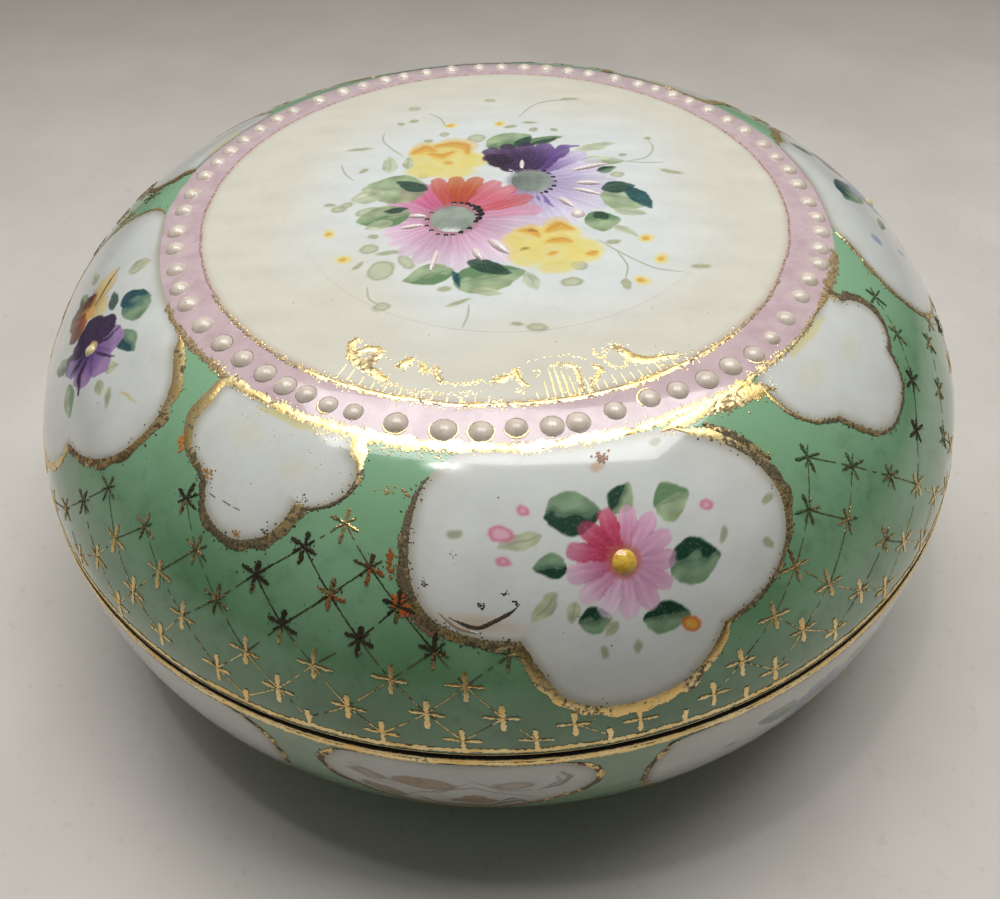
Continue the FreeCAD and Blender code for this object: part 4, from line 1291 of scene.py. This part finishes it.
def draw_cross(place, look, tone, wear, j, seed):
    """Crossed strokes, with soil about the dark ones."""
    for turn, (tip_x, tip_y, broad) in enumerate(DARK_ARMS if look in "drfp" else BRIGHT_ARMS):
        wide = broad * (1 + 0.15 * rng.uniform(-1, 1)) * (0.75 if look in "fp" else 1.0)
        x = tip_x * (1 + 0.12 * rng.uniform(-1, 1)) + 0.1 * j[1]
        y = tip_y * (1 + 0.12 * rng.uniform(-1, 1)) + 0.1 * j[2]
        lid_gold.ribbon(
            place, [(x * q, y * q) for q in (0.0, 0.35, 0.75, 1.0)],
            [0.5 * wide, 0.8 * wide, wide, 0.6 * wide], RUSTY_ARM if look == "r" and turn in (1, 3) else tone,
            wear + (0.10 if look == "d" and turn != 1 else 0.0), low=0.04, high=0.09 + 0.01 * turn,
            ragged=0.09, seed=seed * 7 + turn,
        )
    if look in "dr":
        lid_marks.spray(place, [(-0.9, 0.2), (1.0, -0.2)], 0.5, 16, 0.13, DARK_WEAR_AND_REFLECTION * 0.8, NO_GOLD, seed)


def draw_lines(place, azimuth, s, look, wear, seed):
    """Thin broken lines from a cross to the two below it."""
    for other_azimuth, other_s, other_look in crosses:
        turn, fall = wall_angle(other_azimuth, azimuth), other_s - s
        if not (NEAR_TURN[0] < abs(turn) < NEAR_TURN[1] and NEAR_FALL[0] < fall < NEAR_FALL[1]):
            continue
        dark = look in "dr" and other_look in "dr"
        stops = np.linspace(0, 1, LINE_PARTS + 1)
        clear = [not covered(azimuth + turn * q, s + fall * q, 0.5) for q in stops]
        for i in range(LINE_PARTS):
            if not (clear[i] and clear[i + 1]) or rng.uniform() < (0.05 if dark else 0.16):
                continue
            ends = [
                (math.radians(turn * q) * radius_at(LID, s + fall * q), -fall * q) for q in stops[i:i + 2]
            ]
            width = (DARK_LINE if dark else GOLD_LINE)[min(i, LINE_PARTS - 1 - i)]
            worn = 0.62 if dark else min(wear + 0.16 + 0.06 * rng.uniform(-1, 1), 0.62)
            lid_gold.ribbon(
                place, ends, width, DARK_WEAR_AND_REFLECTION if dark else LINE_UNDER, worn, high=0.05, step=0.25,
                ragged=0.03, seed=seed + i,
            )


for number, (azimuth, s, look) in enumerate(crosses):
    if covered(azimuth, s, 1.1):
        continue
    tone, wear = LOOKS[look]
    place = shoulder(LID, azimuth, s)
    j = rng.uniform(-1, 1, 9)
    wear = wear + 0.04 * j[0]
    if look == "h":
        draw_dash(place, tone, wear, j, number)
    else:
        draw_cross(place, look, tone, wear, j, number)
        draw_lines(place, azimuth, s, look, wear, number)


# ---------------------------------------------------------------------------
# Gold bands and scrolls on top
# ---------------------------------------------------------------------------
def ring(
    gold, profile, s, width, start, end, wear, seed, under=UNDER, wander=0.12, low=0.03, high=0.08,
    ragged=0.12,
):
    """Arc of gold round the turned wall, from azimuth start to end in degrees.

    wear: rows of (azimuth, part of the width, how worn).
    """
    angle = np.radians(np.arange(start, end + 0.2, 0.25))
    x = angle * radius_at(profile, s)
    y = -s + wander * ripple(x, angle * 0, seed, 9.0)
    part, worn = (
        np.interp(np.degrees(angle), [row[0] for row in wear], [row[i] for row in wear]) for i in (1, 2)
    )
    gold.ribbon(
        shoulder(profile, 0.0, 0.0), np.stack([angle * np.interp(-y, profile.s, profile.r), y], 1),
        part * width * (1 + 0.18 * ripple(x, y, seed + 1, 2.4)), under, worn, low=low, high=high, step=0.2,
        ragged=ragged, seed=seed, across=5,
    )


def full_ring(gold, profile, s, width, seed, wear=None, **extra):
    """Gold or soil all the way round, worn a little more behind."""
    wear = wear or [(-180, 1.0, 0.40), (-60, 1.0, 0.34), (0, 1.0, 0.36), (70, 1.0, 0.36), (180, 1.0, 0.40)]
    ring(gold, profile, s, width, -180, 180, wear, seed, **extra)


def radius_to_s(radius):
    return float(np.interp(radius, LID.r, LID.s))


ring(
    lid_gold, LID, 42.75, 1.45, -64, 75,
    [
        (-64, 0.5, 0.66), (-48, 0.65, 0.60), (-40, 0.5, 0.46), (-26, 0.7, 0.40), (-15, 0.95, 0.40),
        (-8, 0.95, 0.40), (-3, 0.75, 0.38), (8, 0.75, 0.38), (20, 0.65, 0.40), (34, 0.65, 0.40),
        (46, 0.4, 0.46), (58, 0.3, 0.60), (66, 0.9, 0.66), (75, 0.6, 0.66),
    ],
    201, rgb(176, 152, 112), 0.16, ragged=0.24,
)
ring(
    lid_gold, LID, 37.4, 0.72, -62, 62,
    [
        (-62, 0.4, 0.66), (-40, 0.6, 0.56), (-30, 0.8, 0.42), (0, 0.8, 0.44), (30, 0.8, 0.42),
        (44, 0.6, 0.5), (62, 0.4, 0.66),
    ],
    203, rgb(196, 172, 144), 0.10, ragged=0.18,
)
ring(
    lid_gold, LID, radius_to_s(37.1), 0.3, 60, 300, [(60, 1.0, 0.7), (300, 1.0, 0.7)], 209,
    rgb(204, 170, 166), 0.06, ragged=0.08,
)
# Crumbs shed by the bands: first and last azimuth, distance from the apex, spread, count
BAND_CRUMBS = [
    (-46, -26, 42.6, 0.35, 130), (-26, -6, 42.9, 0.55, 300), (-6, 12, 42.7, 0.42, 240),
    (12, 46, 42.6, 0.34, 260), (-32, 0, 37.4, 0.34, 260), (0, 44, 37.4, 0.30, 260), (-58, -30, 37.3, 0.2, 90),
]
for number, (start, end, s, spread, count) in enumerate(BAND_CRUMBS):
    path = [(math.radians(a) * radius_at(LID, s), -s) for a in np.linspace(start, end, 30)]
    lid_gold.spray(shoulder(LID, 0.0, 0.0), path, spread, count, 0.17, rgb(112, 84, 52), 0.22, 500 + number)

# The two lips, gilded down to the joint between lid and bowl; the rings nearest the joint are dark painted
# shade in the groove
GAP_SHADE_WEAR = [(-180, 1.0, 0.9), (180, 1.0, 0.9)]
GAP = {"wear": GAP_SHADE_WEAR, "under": GAP_SHADE, "wander": 0.03, "high": 0.04, "ragged": 0.03}
full_ring(lid_gold, LID, 75.0, 0.62, 205, wander=0.10, ragged=0.14)
full_ring(lid_gold, LID_LIP, 0.06, 0.34, 206, wander=0.03, high=0.05, ragged=0.05)
# Painted shade in the groove: dark brown rings with almost no gold showing
full_ring(lid_gold, LID_LIP, 0.46, 0.5, 211, **GAP)
full_ring(bowl_gold, BOWL_LIP, 0.42, 0.42, 212, **GAP)
full_ring(bowl_gold, BOWL_LIP, 0.78, 0.34, 208, wander=0.03, high=0.05, ragged=0.05)
full_ring(bowl_gold, BOWL, 0.40, 0.72, 207, wander=0.10, ragged=0.14)

# Worn scrolls and fine comb of gold inside the band at the front: (azimuth, distance from the apex, width)
SCROLLS = [
    [
        (-29.2, 30.9, 0.7), (-29.6, 32.0, 1.2), (-27.9, 33.4, 1.5), (-25.2, 34.2, 1.6), (-21.7, 34.9, 1.3),
        (-19.2, 35.5, 0.7),
    ],
    [(-27.4, 32.9, 0.9), (-25.7, 31.7, 1.0), (-23.6, 31.8, 1.2), (-23.7, 33.2, 1.3), (-24.6, 34.2, 1.0)],
    [(-18.5, 33.3, 0.8), (-17.4, 32.5, 1.4), (-16.3, 31.8, 0.9)],
    [(-14.3, 32.2, 0.4), (-13.9, 32.9, 0.8), (-13.1, 33.5, 0.4)],
    [(-11.7, 32.3, 0.3), (-11.2, 33.4, 0.7), (-9.9, 34.5, 0.5)],
    [(-1.2, 34.2, 0.5), (0.6, 33.9, 1.2), (2.1, 33.4, 0.6)],
    [(3.1, 32.5, 0.4), (3.6, 34.0, 0.8), (4.9, 35.1, 0.7)],
    [(11.7, 32.7, 0.3), (13.2, 32.8, 0.45), (14.1, 33.6, 0.6), (13.9, 35.2, 0.6), (13.5, 36.9, 0.6)],
    [(17.2, 33.8, 0.5), (18.3, 34.3, 0.8), (17.3, 35.2, 0.6), (15.8, 35.9, 0.4), (15.2, 37.0, 0.35)],
    [
        (22.8, 31.7, 0.7), (24.0, 32.7, 1.3), (25.0, 34.2, 1.6), (27.0, 35.1, 1.3), (30.0, 35.6, 0.8),
        (32.9, 36.3, 0.35),
    ],
]
FAINT_ARCS = [
    ([(-9.8, 34.5), (-7.7, 34.7), (-5.1, 34.5), (-2.4, 33.9)], 0.14, 70),
    ([(-20.0, 35.6), (-14.4, 36.1), (-8.0, 36.1), (-3.3, 35.6)], 0.26, 110),
    ([(5.4, 31.6), (9.4, 31.2), (13.3, 31.4), (17.4, 32.8)], 0.10, 26),
    ([(19.0, 31.4), (19.4, 32.8), (21.0, 32.6), (20.8, 31.3)], 0.16, 46),
    ([(19.7, 33.2), (20.7, 34.6), (22.6, 34.8), (23.6, 34.0)], 0.14, 54),
    ([(28.3, 36.4), (28.8, 36.6)], 0.16, 12),
    ([(30.5, 37.0), (30.8, 37.2)], 0.12, 8), ([(6.3, 33.0), (7.4, 32.9), (7.5, 33.6), (6.4, 33.7)], 0.08, 22),
    ([(3.2, 35.5), (3.8, 35.8)], 0.2, 16), ([(9.6, 32.7), (11.6, 32.4)], 0.1, 16),
]
# Comb lines: (azimuth, first and last distance from the apex, width)
COMB = [
    (-27.6, 34.8, 36.6, 0.12), (-25.7, 35.0, 36.8, 0.13), (-23.3, 35.6, 36.9, 0.12),
    (-21.1, 36.0, 37.0, 0.14), (-18.9, 36.0, 37.1, 0.12), (-16.2, 36.1, 37.1, 0.13),
    (-13.4, 36.3, 37.2, 0.10), (-10.8, 36.2, 37.2, 0.12), (-8.4, 36.3, 37.2, 0.10),
    (-6.0, 36.0, 37.2, 0.12), (-3.8, 36.1, 37.2, 0.10), (-1.6, 36.2, 37.2, 0.14), (0.4, 36.2, 37.2, 0.10),
    (6.2, 36.0, 37.1, 0.08), (7.9, 34.5, 37.1, 0.14), (9.2, 32.9, 37.0, 0.18), (10.3, 32.8, 37.2, 0.22),
    (11.4, 33.4, 37.2, 0.24), (12.4, 34.0, 37.2, 0.12), (14.8, 34.8, 37.0, 0.12), (16.3, 36.2, 37.1, 0.10),
    (17.8, 36.0, 37.0, 0.14), (19.5, 35.5, 37.0, 0.14), (21.1, 35.6, 37.0, 0.13), (22.7, 35.7, 37.0, 0.13),
    (24.2, 35.8, 37.0, 0.12), (25.8, 35.8, 37.0, 0.12), (27.6, 35.9, 37.1, 0.12), (30.4, 36.4, 37.2, 0.10),
    (33.0, 36.7, 37.3, 0.10),
]


def wall_line(points):
    """Drawing line on the lid's wall, its widths and its place, from (azimuth, distance, ...) rows."""
    line = through([(*row, 0.0) if len(row) == 2 else row for row in points], 14)
    middle = float(line[:, 0].mean())
    x = np.radians(line[:, 0] - middle) * np.interp(line[:, 1], LID.s, LID.r)
    return np.stack([x, -line[:, 1]], 1), line[:, 2], shoulder(LID, middle, 0.0)


def wall_stroke(layer, rows, tone, wear, seed, ragged=0.05, crumbs=0, taper=True):
    """Ribbon through (azimuth, distance, width) rows, with crumbs about it."""
    path, width, place = wall_line(rows)
    layer.ribbon(place, path, width, tone, wear, ragged=ragged, seed=seed, taper=taper, across=5)
    if crumbs:
        layer.spray(place, path, 0.35 * float(width.mean()) + 0.08, crumbs, 0.16, tone, wear, seed)


for number, rows in enumerate(SCROLLS):
    rows = [(azimuth, s, 0.8 * width) for azimuth, s, width in rows]
    wall_stroke(lid_gold, rows, rgb(188, 164, 118), 0.47, 300 + number, 0.16, 20 * len(rows), taper=False)
for number, (points, spread, count) in enumerate(FAINT_ARCS):
    path, _, place = wall_line(points)
    lid_gold.spray(place, path, spread, count, 0.15, CREAM_UNDER * 0.8, 0.3, 340 + number)
for number, (azimuth, top, bottom, width) in enumerate(COMB):
    lid_gold.ribbon(
        shoulder(LID, azimuth, 0.0), [(0.0, -top), (0.06, -0.5 * (top + bottom)), (0.0, -bottom)], width,
        CREAM_UNDER, 0.40, high=0.05, step=0.15, ragged=0.03, seed=number + 400, taper=True,
    )

# Front beads: (azimuth, distance from the axis, rim radius), a thin dark line of painted shade round the foot
# of each
FRONT_BEADS = [
    (-49.3, 40.0, 1.2), (-43.8, 39.9, 1.2), (-38.4, 39.9, 1.2), (-33.9, 40.1, 1.2), (-30.0, 40.0, 1.1),
    (-25.8, 40.3, 0.98), (-21.6, 40.3, 0.98), (-14.9, 40.5, 1.2), (-7.9, 40.7, 1.3), (-2.6, 40.7, 1.2),
    (2.4, 40.3, 1.1), (7.5, 40.5, 1.2), (11.3, 40.5, 1.2), (17.1, 40.0, 1.1), (22.9, 39.7, 1.1),
    (27.6, 40.0, 1.1), (32.8, 40.3, 1.2), (37.7, 40.3, 1.2), (42.6, 40.7, 1.1),
]
# Gold left round some of them: (azimuth, distance from the axis, radius, first and last direction)
BEAD_GOLD = [
    (-14.9, 40.5, 1.38, 200, 330), (-7.9, 40.7, 1.48, 150, 400), (-2.6, 40.7, 1.38, 130, 395),
    (2.4, 40.3, 1.28, 190, 350), (22.9, 39.7, 1.28, 60, 215), (-25.8, 40.3, 1.14, 190, 300),
    (42.6, 40.7, 1.28, 180, 300),
]


def bead_ring(layer, azimuth, from_axis, radius, first, last, width, tone, wear, seed):
    """Line round the foot of a bead, from the first to the last direction in degrees."""
    turn = np.radians(np.linspace(first, last, 28))
    path = np.stack([radius * np.cos(turn), radius * np.sin(turn)], 1)
    layer.ribbon(
        shoulder(LID, azimuth, radius_to_s(from_axis)), path, width, tone, wear, high=0.08, ragged=0.04,
        seed=seed, taper=last - first < 350,
    )


# Painted shade: a thin dark line round the foot of each front bead
for number, (azimuth, from_axis, radius) in enumerate(FRONT_BEADS):
    bead_ring(
        lid_marks, azimuth, from_axis, radius + 0.02, 0, 360, 0.10, rgb(150, 128, 110), NO_GOLD, 420 + number
    )
for number, (azimuth, from_axis, radius, first, last) in enumerate(BEAD_GOLD):
    bead_ring(lid_gold, azimuth, from_axis, radius, first, last, 0.22, PINK_UNDER * 0.8, 0.34, 440 + number)

# Soiled and scratched marks: (azimuth, distance, width) rows, colour
MARKS = [
    ([
        (-5.4, 59.4, 0.15), (-3.9, 60.1, 0.4), (-2.5, 60.4, 0.45), (-1.0, 59.8, 0.45), (0.7, 58.9, 0.4),
        (1.6, 58.1, 0.15),
    ], rgb(76, 64, 52)),
    ([(-6.4, 59.0, 0.1), (-4.6, 60.4, 0.3), (-2.6, 60.9, 0.2)], rgb(156, 132, 112)),
    ([(-34.6, 53.8, 0.08), (-33.6, 53.9, 0.12)], rgb(84, 74, 60)),
    ([(-32.6, 53.8, 0.1), (-31.4, 53.9, 0.12)], rgb(84, 74, 60)),
    ([(-31.0, 53.9, 0.08), (-30.0, 53.9, 0.1)], rgb(84, 74, 60)),
]
# Patches of specks: (azimuth, distance) path, spread, count, size, colour
SPECKS = [
    ([(-2.6, 58.1), (-2.1, 58.3)], 0.16, 18, 0.13, rgb(56, 50, 44)),
    ([(-0.1, 57.2), (0.5, 57.0)], 0.14, 12, 0.13, rgb(56, 48, 40)),
    ([(1.0, 57.8), (1.4, 58.2)], 0.14, 9, 0.13, rgb(50, 42, 34)),
    ([(-8.2, 56.1), (-7.8, 56.5)], 0.22, 12, 0.12, rgb(90, 76, 62)),
    ([(-5.2, 53.5), (-4.8, 53.9)], 0.2, 7, 0.10, rgb(110, 96, 80)),
    ([(-0.4, 47.8), (-0.2, 47.9)], 0.03, 2, 0.12, rgb(60, 60, 50)),
    ([(-10.4, 54.4), (-9.8, 57.6), (-8.0, 60.0), (-5.4, 61.0)], 0.4, 130, 0.12, rgb(84, 64, 46)),
    ([(12.3, 44.8), (13.3, 45.2)], 0.3, 34, 0.2, rgb(160, 98, 58)),
    ([(12.4, 45.3), (13.4, 45.0)], 0.24, 14, 0.15, rgb(96, 62, 44)),
    ([(-11.9, 53.8), (-11.4, 55.8)], 0.26, 44, 0.2, rgb(160, 84, 36)),
    ([(-10.6, 58.1), (-9.7, 59.3)], 0.34, 90, 0.24, rgb(186, 96, 42)),
    ([(-9.2, 59.6), (-6.6, 61.3)], 0.3, 70, 0.18, rgb(140, 96, 78)),
    ([(-42.0, 50.6), (-41.4, 51.6)], 0.3, 30, 0.22, rgb(206, 122, 46)),
    ([(-36.8, 52.0), (-35.4, 52.1)], 0.26, 30, 0.2, rgb(170, 128, 70)),
    ([(-29.6, 56.2), (-29.0, 56.3)], 0.2, 18, 0.16, rgb(168, 120, 66)),
    ([(-14.2, 48.0), (-13.0, 47.7)], 0.26, 14, 0.16, rgb(170, 146, 84)),
    ([(-11.6, 47.9), (-10.9, 48.1)], 0.22, 14, 0.16, rgb(160, 120, 64)),
    ([(-26.6, 55.2), (-25.6, 54.2)], 0.25, 14, 0.13, rgb(70, 60, 46)),
    ([(-23.4, 50.8), (-22.6, 50.4)], 0.3, 12, 0.12, rgb(90, 76, 56)),
    ([(-36.0, 44.0), (-20.0, 46.0)], 1.0, 22, 0.12, rgb(206, 190, 140)),
    ([(-50.0, 60.0), (30.0, 66.0)], 5.0, 40, 0.09, rgb(60, 70, 50)),
]
for number, (rows, tone) in enumerate(MARKS):
    wall_stroke(lid_marks, rows, tone, NO_GOLD, 460 + number, 0.04)
for number, (points, spread, count, size, tone) in enumerate(SPECKS):
    path, _, place = wall_line(points)
    lid_marks.spray(place, path, spread, count, size, tone, NO_GOLD, 480 + number, 0.045, 0.06)
lid_marks.spray(on_top, [(-20.0, -22.0), (20.0, -26.0)], 6.0, 22, 0.1, rgb(120, 112, 92), NO_GOLD, 530)

# Broad worn strokes of gold to the right of the front reserve:
# (azimuth, distance, width) rows, colour under the gold, how worn, seed, how ragged, crumbs
BROAD_STROKES = [
    ([(27.6, 44.6, 0.8), (29.6, 46.4, 1.1), (31.6, 48.4, 0.9), (33.4, 51.0, 0.4)],
     rgb(96, 84, 54), 0.56, 540, 0.12, 40),
    ([(29.0, 43.6, 0.6), (32.0, 43.9, 1.3), (35.5, 44.0, 1.7), (38.6, 44.4, 1.6), (40.4, 45.2, 0.8)],
     rgb(176, 152, 100), 0.46, 542, 0.24, 160),
    ([(21.8, 43.9, 0.5), (25.0, 43.6, 1.2), (28.6, 43.3, 1.4), (32.0, 42.9, 0.8)],
     rgb(130, 112, 70), 0.34, 541, 0.2, 110),
]
for row in BROAD_STROKES:
    wall_stroke(lid_gold, *row)

# ---------------------------------------------------------------------------
# Bowl: white reserves on the wall. y is minus the distance down from the lip, in mm.
# ---------------------------------------------------------------------------
ORNAMENT_EDGE = [
    [
        (11.4, 0.9, 0.0, 0.5), (0.0, 0.8, 0.0, 0.5), (-11.4, 0.9, 0.0, 0.5), (-14.0, 2.9, 0.9, 0.52),
        (-14.9, 5.2, 0.9, 0.56), (-13.8, 7.7, 0.8, 0.58), (-10.9, 9.8, 0.9, 0.6), (-7.4, 11.6, 1.2, 0.6),
        (-3.6, 13.0, 1.2, 0.6), (0.0, 13.6, 1.0, 0.6), (3.8, 13.0, 1.0, 0.6), (7.4, 11.6, 0.9, 0.6),
        (10.9, 9.9, 0.8, 0.58), (13.7, 7.8, 0.8, 0.58), (14.9, 5.4, 0.9, 0.52), (14.1, 2.8, 0.9, 0.5),
        (11.4, 0.9, 0.0, 0.5),
    ],
]
FLOWER_EDGE = [
    [
        (24.0, 0.9, 0.0, 0.5), (0.0, 0.8, 0.0, 0.5), (-24.0, 0.9, 0.0, 0.5), (-27.4, 3.0, 0.7, 0.52),
        (-28.8, 7.0, 0.7, 0.55), (-28.0, 12.0, 0.7, 0.55), (-23.6, 16.6, 0.8, 0.5),
        (-14.0, 18.8, 0.8, 0.45),
    ],
    [
        (-14.0, 18.8, 0.8, 0.45), (-9.0, 23.2, 0.9, 0.4), (0.0, 25.6, 1.0, 0.4), (9.0, 23.2, 0.9, 0.4),
        (14.0, 18.8, 0.8, 0.45),
    ],
    [
        (14.0, 18.8, 0.8, 0.45), (23.6, 16.6, 0.8, 0.5), (28.0, 12.0, 0.7, 0.55), (28.8, 7.0, 0.7, 0.55),
        (27.4, 3.0, 0.7, 0.52), (24.0, 0.9, 0.0, 0.5),
    ],
]
TAN = rgb(176, 138, 100)
TAN_DARK = rgb(112, 94, 76)
UMBER = rgb(104, 86, 70)
DARK_UMBER = rgb(84, 70, 54)


def ornament_paint(x, y, rest):
    """Tan shells and thin curls, as in a worn lotus border."""
    art = reserve_ground(x, y, rest, 131)
    # Darker towards the bottom of the reserve
    art.lay(ramp(-y, 8.6, 13.0) * 0.30, rgb(150, 136, 112))
    for cx, cy, rx, ry, turn, tone in [
        (-3.4, -6.0, 3.1, 1.4, -4, TAN), (-5.6, -5.6, 1.8, 1.0, 10, TAN),
        (5.9, -5.6, 2.1, 0.9, 4, rgb(196, 178, 156)),
        (1.5, -10.5, 2.5, 0.9, 0, TAN), (1.5, -9.5, 1.3, 0.9, 0, TAN),
        (-9.8, -5.4, 2.0, 0.8, -18, rgb(180, 162, 140)),
        (-8.6, -9.4, 2.6, 0.9, -28, rgb(156, 130, 98)),
    ]:
        art.blob(cx, cy, rx, ry, turn, tone, 0.85, 0.3, TAN_DARK)
    for width, tone, cover, *points in [
        (0.35, TAN_DARK, 0.5, (-11.8, -3.6), (-9.8, -4.6), (-7.2, -6.8)),
        (0.35, TAN_DARK, 0.5, (-12.4, -5.0), (-10.0, -6.6), (-6.6, -7.8)),
        (0.35, TAN_DARK, 0.5, (-5.6, -9.6), (-2.8, -8.0), (1.4, -6.2), (5.2, -7.9), (8.2, -9.2)),
        (0.3, TAN_DARK, 0.5, (1.4, -4.4), (4.6, -6.8), (8.8, -7.2)),
        (0.3, TAN_DARK, 0.4, (1.2, -4.6), (-2.0, -8.2), (-5.4, -8.6)),
        (0.7, UMBER, 0.7, (8.8, -6.8), (11.0, -5.9), (12.1, -4.2), (11.0, -3.0)),
        (0.4, UMBER, 0.6, (9.6, -6.0), (10.8, -5.0), (10.6, -3.8)),
        (
            0.7, DARK_UMBER, 0.7,
            (-4.6, -10.6), (-2.8, -12.2), (0.4, -12.6), (3.4, -12.2), (5.0, -10.9), (6.8, -10.6),
            (7.4, -11.6),
        ),
        (0.5, DARK_UMBER, 0.7, (4.6, -10.4), (5.6, -9.7), (6.8, -10.2)),
    ]:
        art.stroke(points, width, tone, cover)
    return art.colour


def bowl_flower_paint(x, y, rest):
    """Blue flower between leaves, left of the middle."""
    art = reserve_ground(x, y, rest, 141)
    art.leaves([
        (-9.4, -7.0, -15.6, -5.4, 1.8, LEAF_MID, LEAF_DARK, 1),
        (-9.2, -12.6, -14.0, -15.0, 1.8, LEAF, LEAF_DARK, -1),
        (-2.0, -12.8, 2.6, -15.4, 1.7, LEAF_MID, LEAF_DARK, 1),
        (-1.6, -6.6, 3.6, -5.0, 1.7, LEAF, LEAF_MID, 1),
        (6.0, -8.0, 10.0, -7.4, 0.8, OLIVE, None, 1),
        (12.0, -9.0, 14.6, -10.4, 0.6, OLIVE, None, 1),
    ])
    blue = rgb(82, 106, 164), rgb(160, 178, 214)
    art.daisy(
        -5.6, -9.8, 5.6, 12, [(-180, *blue), (0, *blue), (90, rgb(44, 62, 124), rgb(92, 114, 178))], turn=3.0
    )
    art.blob(-5.6, -9.8, 1.3, 1.2, 0, YELLOW, 0.95, 0.25, ORANGE)
    for cx, cy in [(5.0, -10.4), (8.0, -11.6), (-18.6, -8.4)]:
        art.blob(cx, cy, 0.9, 0.6, cx * 40, rgb(150, 170, 206), 0.8, 0.2)
    return art.colour


# Four of each round the bowl: name, first azimuth, outline, centre, paint
BOWL_RESERVES = [
    ("bowl_ornament", -4.8, ORNAMENT_EDGE, (0.0, -7.2), ornament_paint),
    ("bowl_flowers", 40.2, FLOWER_EDGE, (0.0, -11.0), bowl_flower_paint),
]
for kind, (name, first, runs, centre, paint) in enumerate(BOWL_RESERVES):
    for k in range(4):
        azimuth = wall_angle(first + 90.0 * k, 0.0)
        patch(
            "%s_%d" % (name, k + 1), shoulder(BOWL, azimuth, 0.0), reach_of(runs, centre), centre,
            0.24, RESERVE_LIFT, paint, "base",
        )
        outline(bowl_gold, BOWL, azimuth, runs, 170 + 10 * (4 * kind + k), crumbs=1.6)

lid_gold.finish("lid_gilding", GOLD, "lid")
lid_marks.finish("lid_fine_marks", PAINT, "lid")
bowl_gold.finish("bowl_gilding", GOLD, "base")

# ---------------------------------------------------------------------------
# Floor, light and camera
# ---------------------------------------------------------------------------
FLOOR_HALF = 1.6
stone = Graph(bpy.data.materials.new("pale_floor"))
speck = stone.span(stone.noise(2.2, 2.0), 0.62, 0.72, 0.0, 0.3)
floor_colour = stone.mix(stone.span(stone.noise(30.0, 3.0), 0.3, 0.7), lin(214, 208, 199), lin(206, 200, 190))
floor_colour = stone.mix(speck, floor_colour, lin(190, 180, 170))
away = stone.add("ShaderNodeSeparateXYZ", {"Vector": stone.place}).outputs["Y"]
# Painted shade: the floor darkens towards the back
floor_colour = stone.mix(stone.span(away, 0.02, 0.34), floor_colour, lin(124, 117, 107))
floor = bpy.data.meshes.new("floor")
corners = [(x * FLOOR_HALF, y * FLOOR_HALF, 0) for x, y in ((-1, -1), (1, -1), (1, 1), (-1, 1))]
floor.from_pydata(corners, [], [(0, 1, 2, 3)])
floor.materials.append(stone.shader(Base_Color=floor_colour, Roughness=0.55))
floor_object = bpy.data.objects.new("floor", floor)
bpy.context.scene.collection.objects.link(floor_object)

scene = bpy.context.scene
scene.view_settings.view_transform = "Standard"
scene.view_settings.look = "None"

# A dim studio: dark below, brighter above and behind
world = bpy.data.worlds.new("studio")
scene.world = world
studio = Graph(world)
rise = studio.span(studio.dot(studio.outward, (-0.08, 0.50, 0.86)), 0.0, 0.95)
depth = studio.span(studio.dot(studio.outward, (-0.30, 0.95, 0.0)), -0.6, 0.6)
low = studio.mix(depth, (0.01, 0.01, 0.01, 1.0), (0.17, 0.175, 0.18, 1.0))
sky = studio.mix(rise, low, (0.55, 0.56, 0.57, 1.0))
back = studio.add("ShaderNodeBackground", {"Color": sky, "Strength": 0.4}).outputs["Background"]
studio.add("ShaderNodeOutputWorld", {"Surface": back})


def area_light(name, place, size, power):
    """Oblong light aimed at the middle of the object."""
    data = bpy.data.lights.new(name, "AREA")
    data.shape = "RECTANGLE"
    data.size, data.size_y = size
    data.energy = power
    light = bpy.data.objects.new(name, data)
    light.location = place
    light.rotation_mode = "QUATERNION"
    light.rotation_quaternion = (Vector((0, 0, 0.03)) - Vector(place)).to_track_quat("-Z", "Y")
    scene.collection.objects.link(light)


area_light("overhead", (0.03, 0.15, 0.64), (0.62, 0.34), 3.75)
area_light("lamp", (-0.10, -0.02, 0.70), (0.03, 0.03), 0.25)

CAMERA_AT = (0.0, -0.10694, 0.12252)
PITCH, ROLL = math.radians(46.46), math.radians(-1.414)
forward = np.array([0.0, math.cos(PITCH), -math.sin(PITCH)])
right0 = np.array([1.0, 0.0, 0.0])
up0 = np.cross(right0, forward)
right = right0 * math.cos(ROLL) + up0 * math.sin(ROLL)
up = up0 * math.cos(ROLL) - right0 * math.sin(ROLL)
camera_data = bpy.data.cameras.new("camera")
camera_data.sensor_width = 36.0
camera_data.lens = 34.07
camera_data.clip_start = 0.005
camera = bpy.data.objects.new("camera", camera_data)
turn = Matrix([[right[i], up[i], -forward[i]] for i in range(3)])
camera.rotation_mode = "QUATERNION"
camera.rotation_quaternion = turn.to_quaternion()
camera.location = CAMERA_AT
scene.collection.objects.link(camera)
scene.camera = camera

bpy.context.view_layer.update()
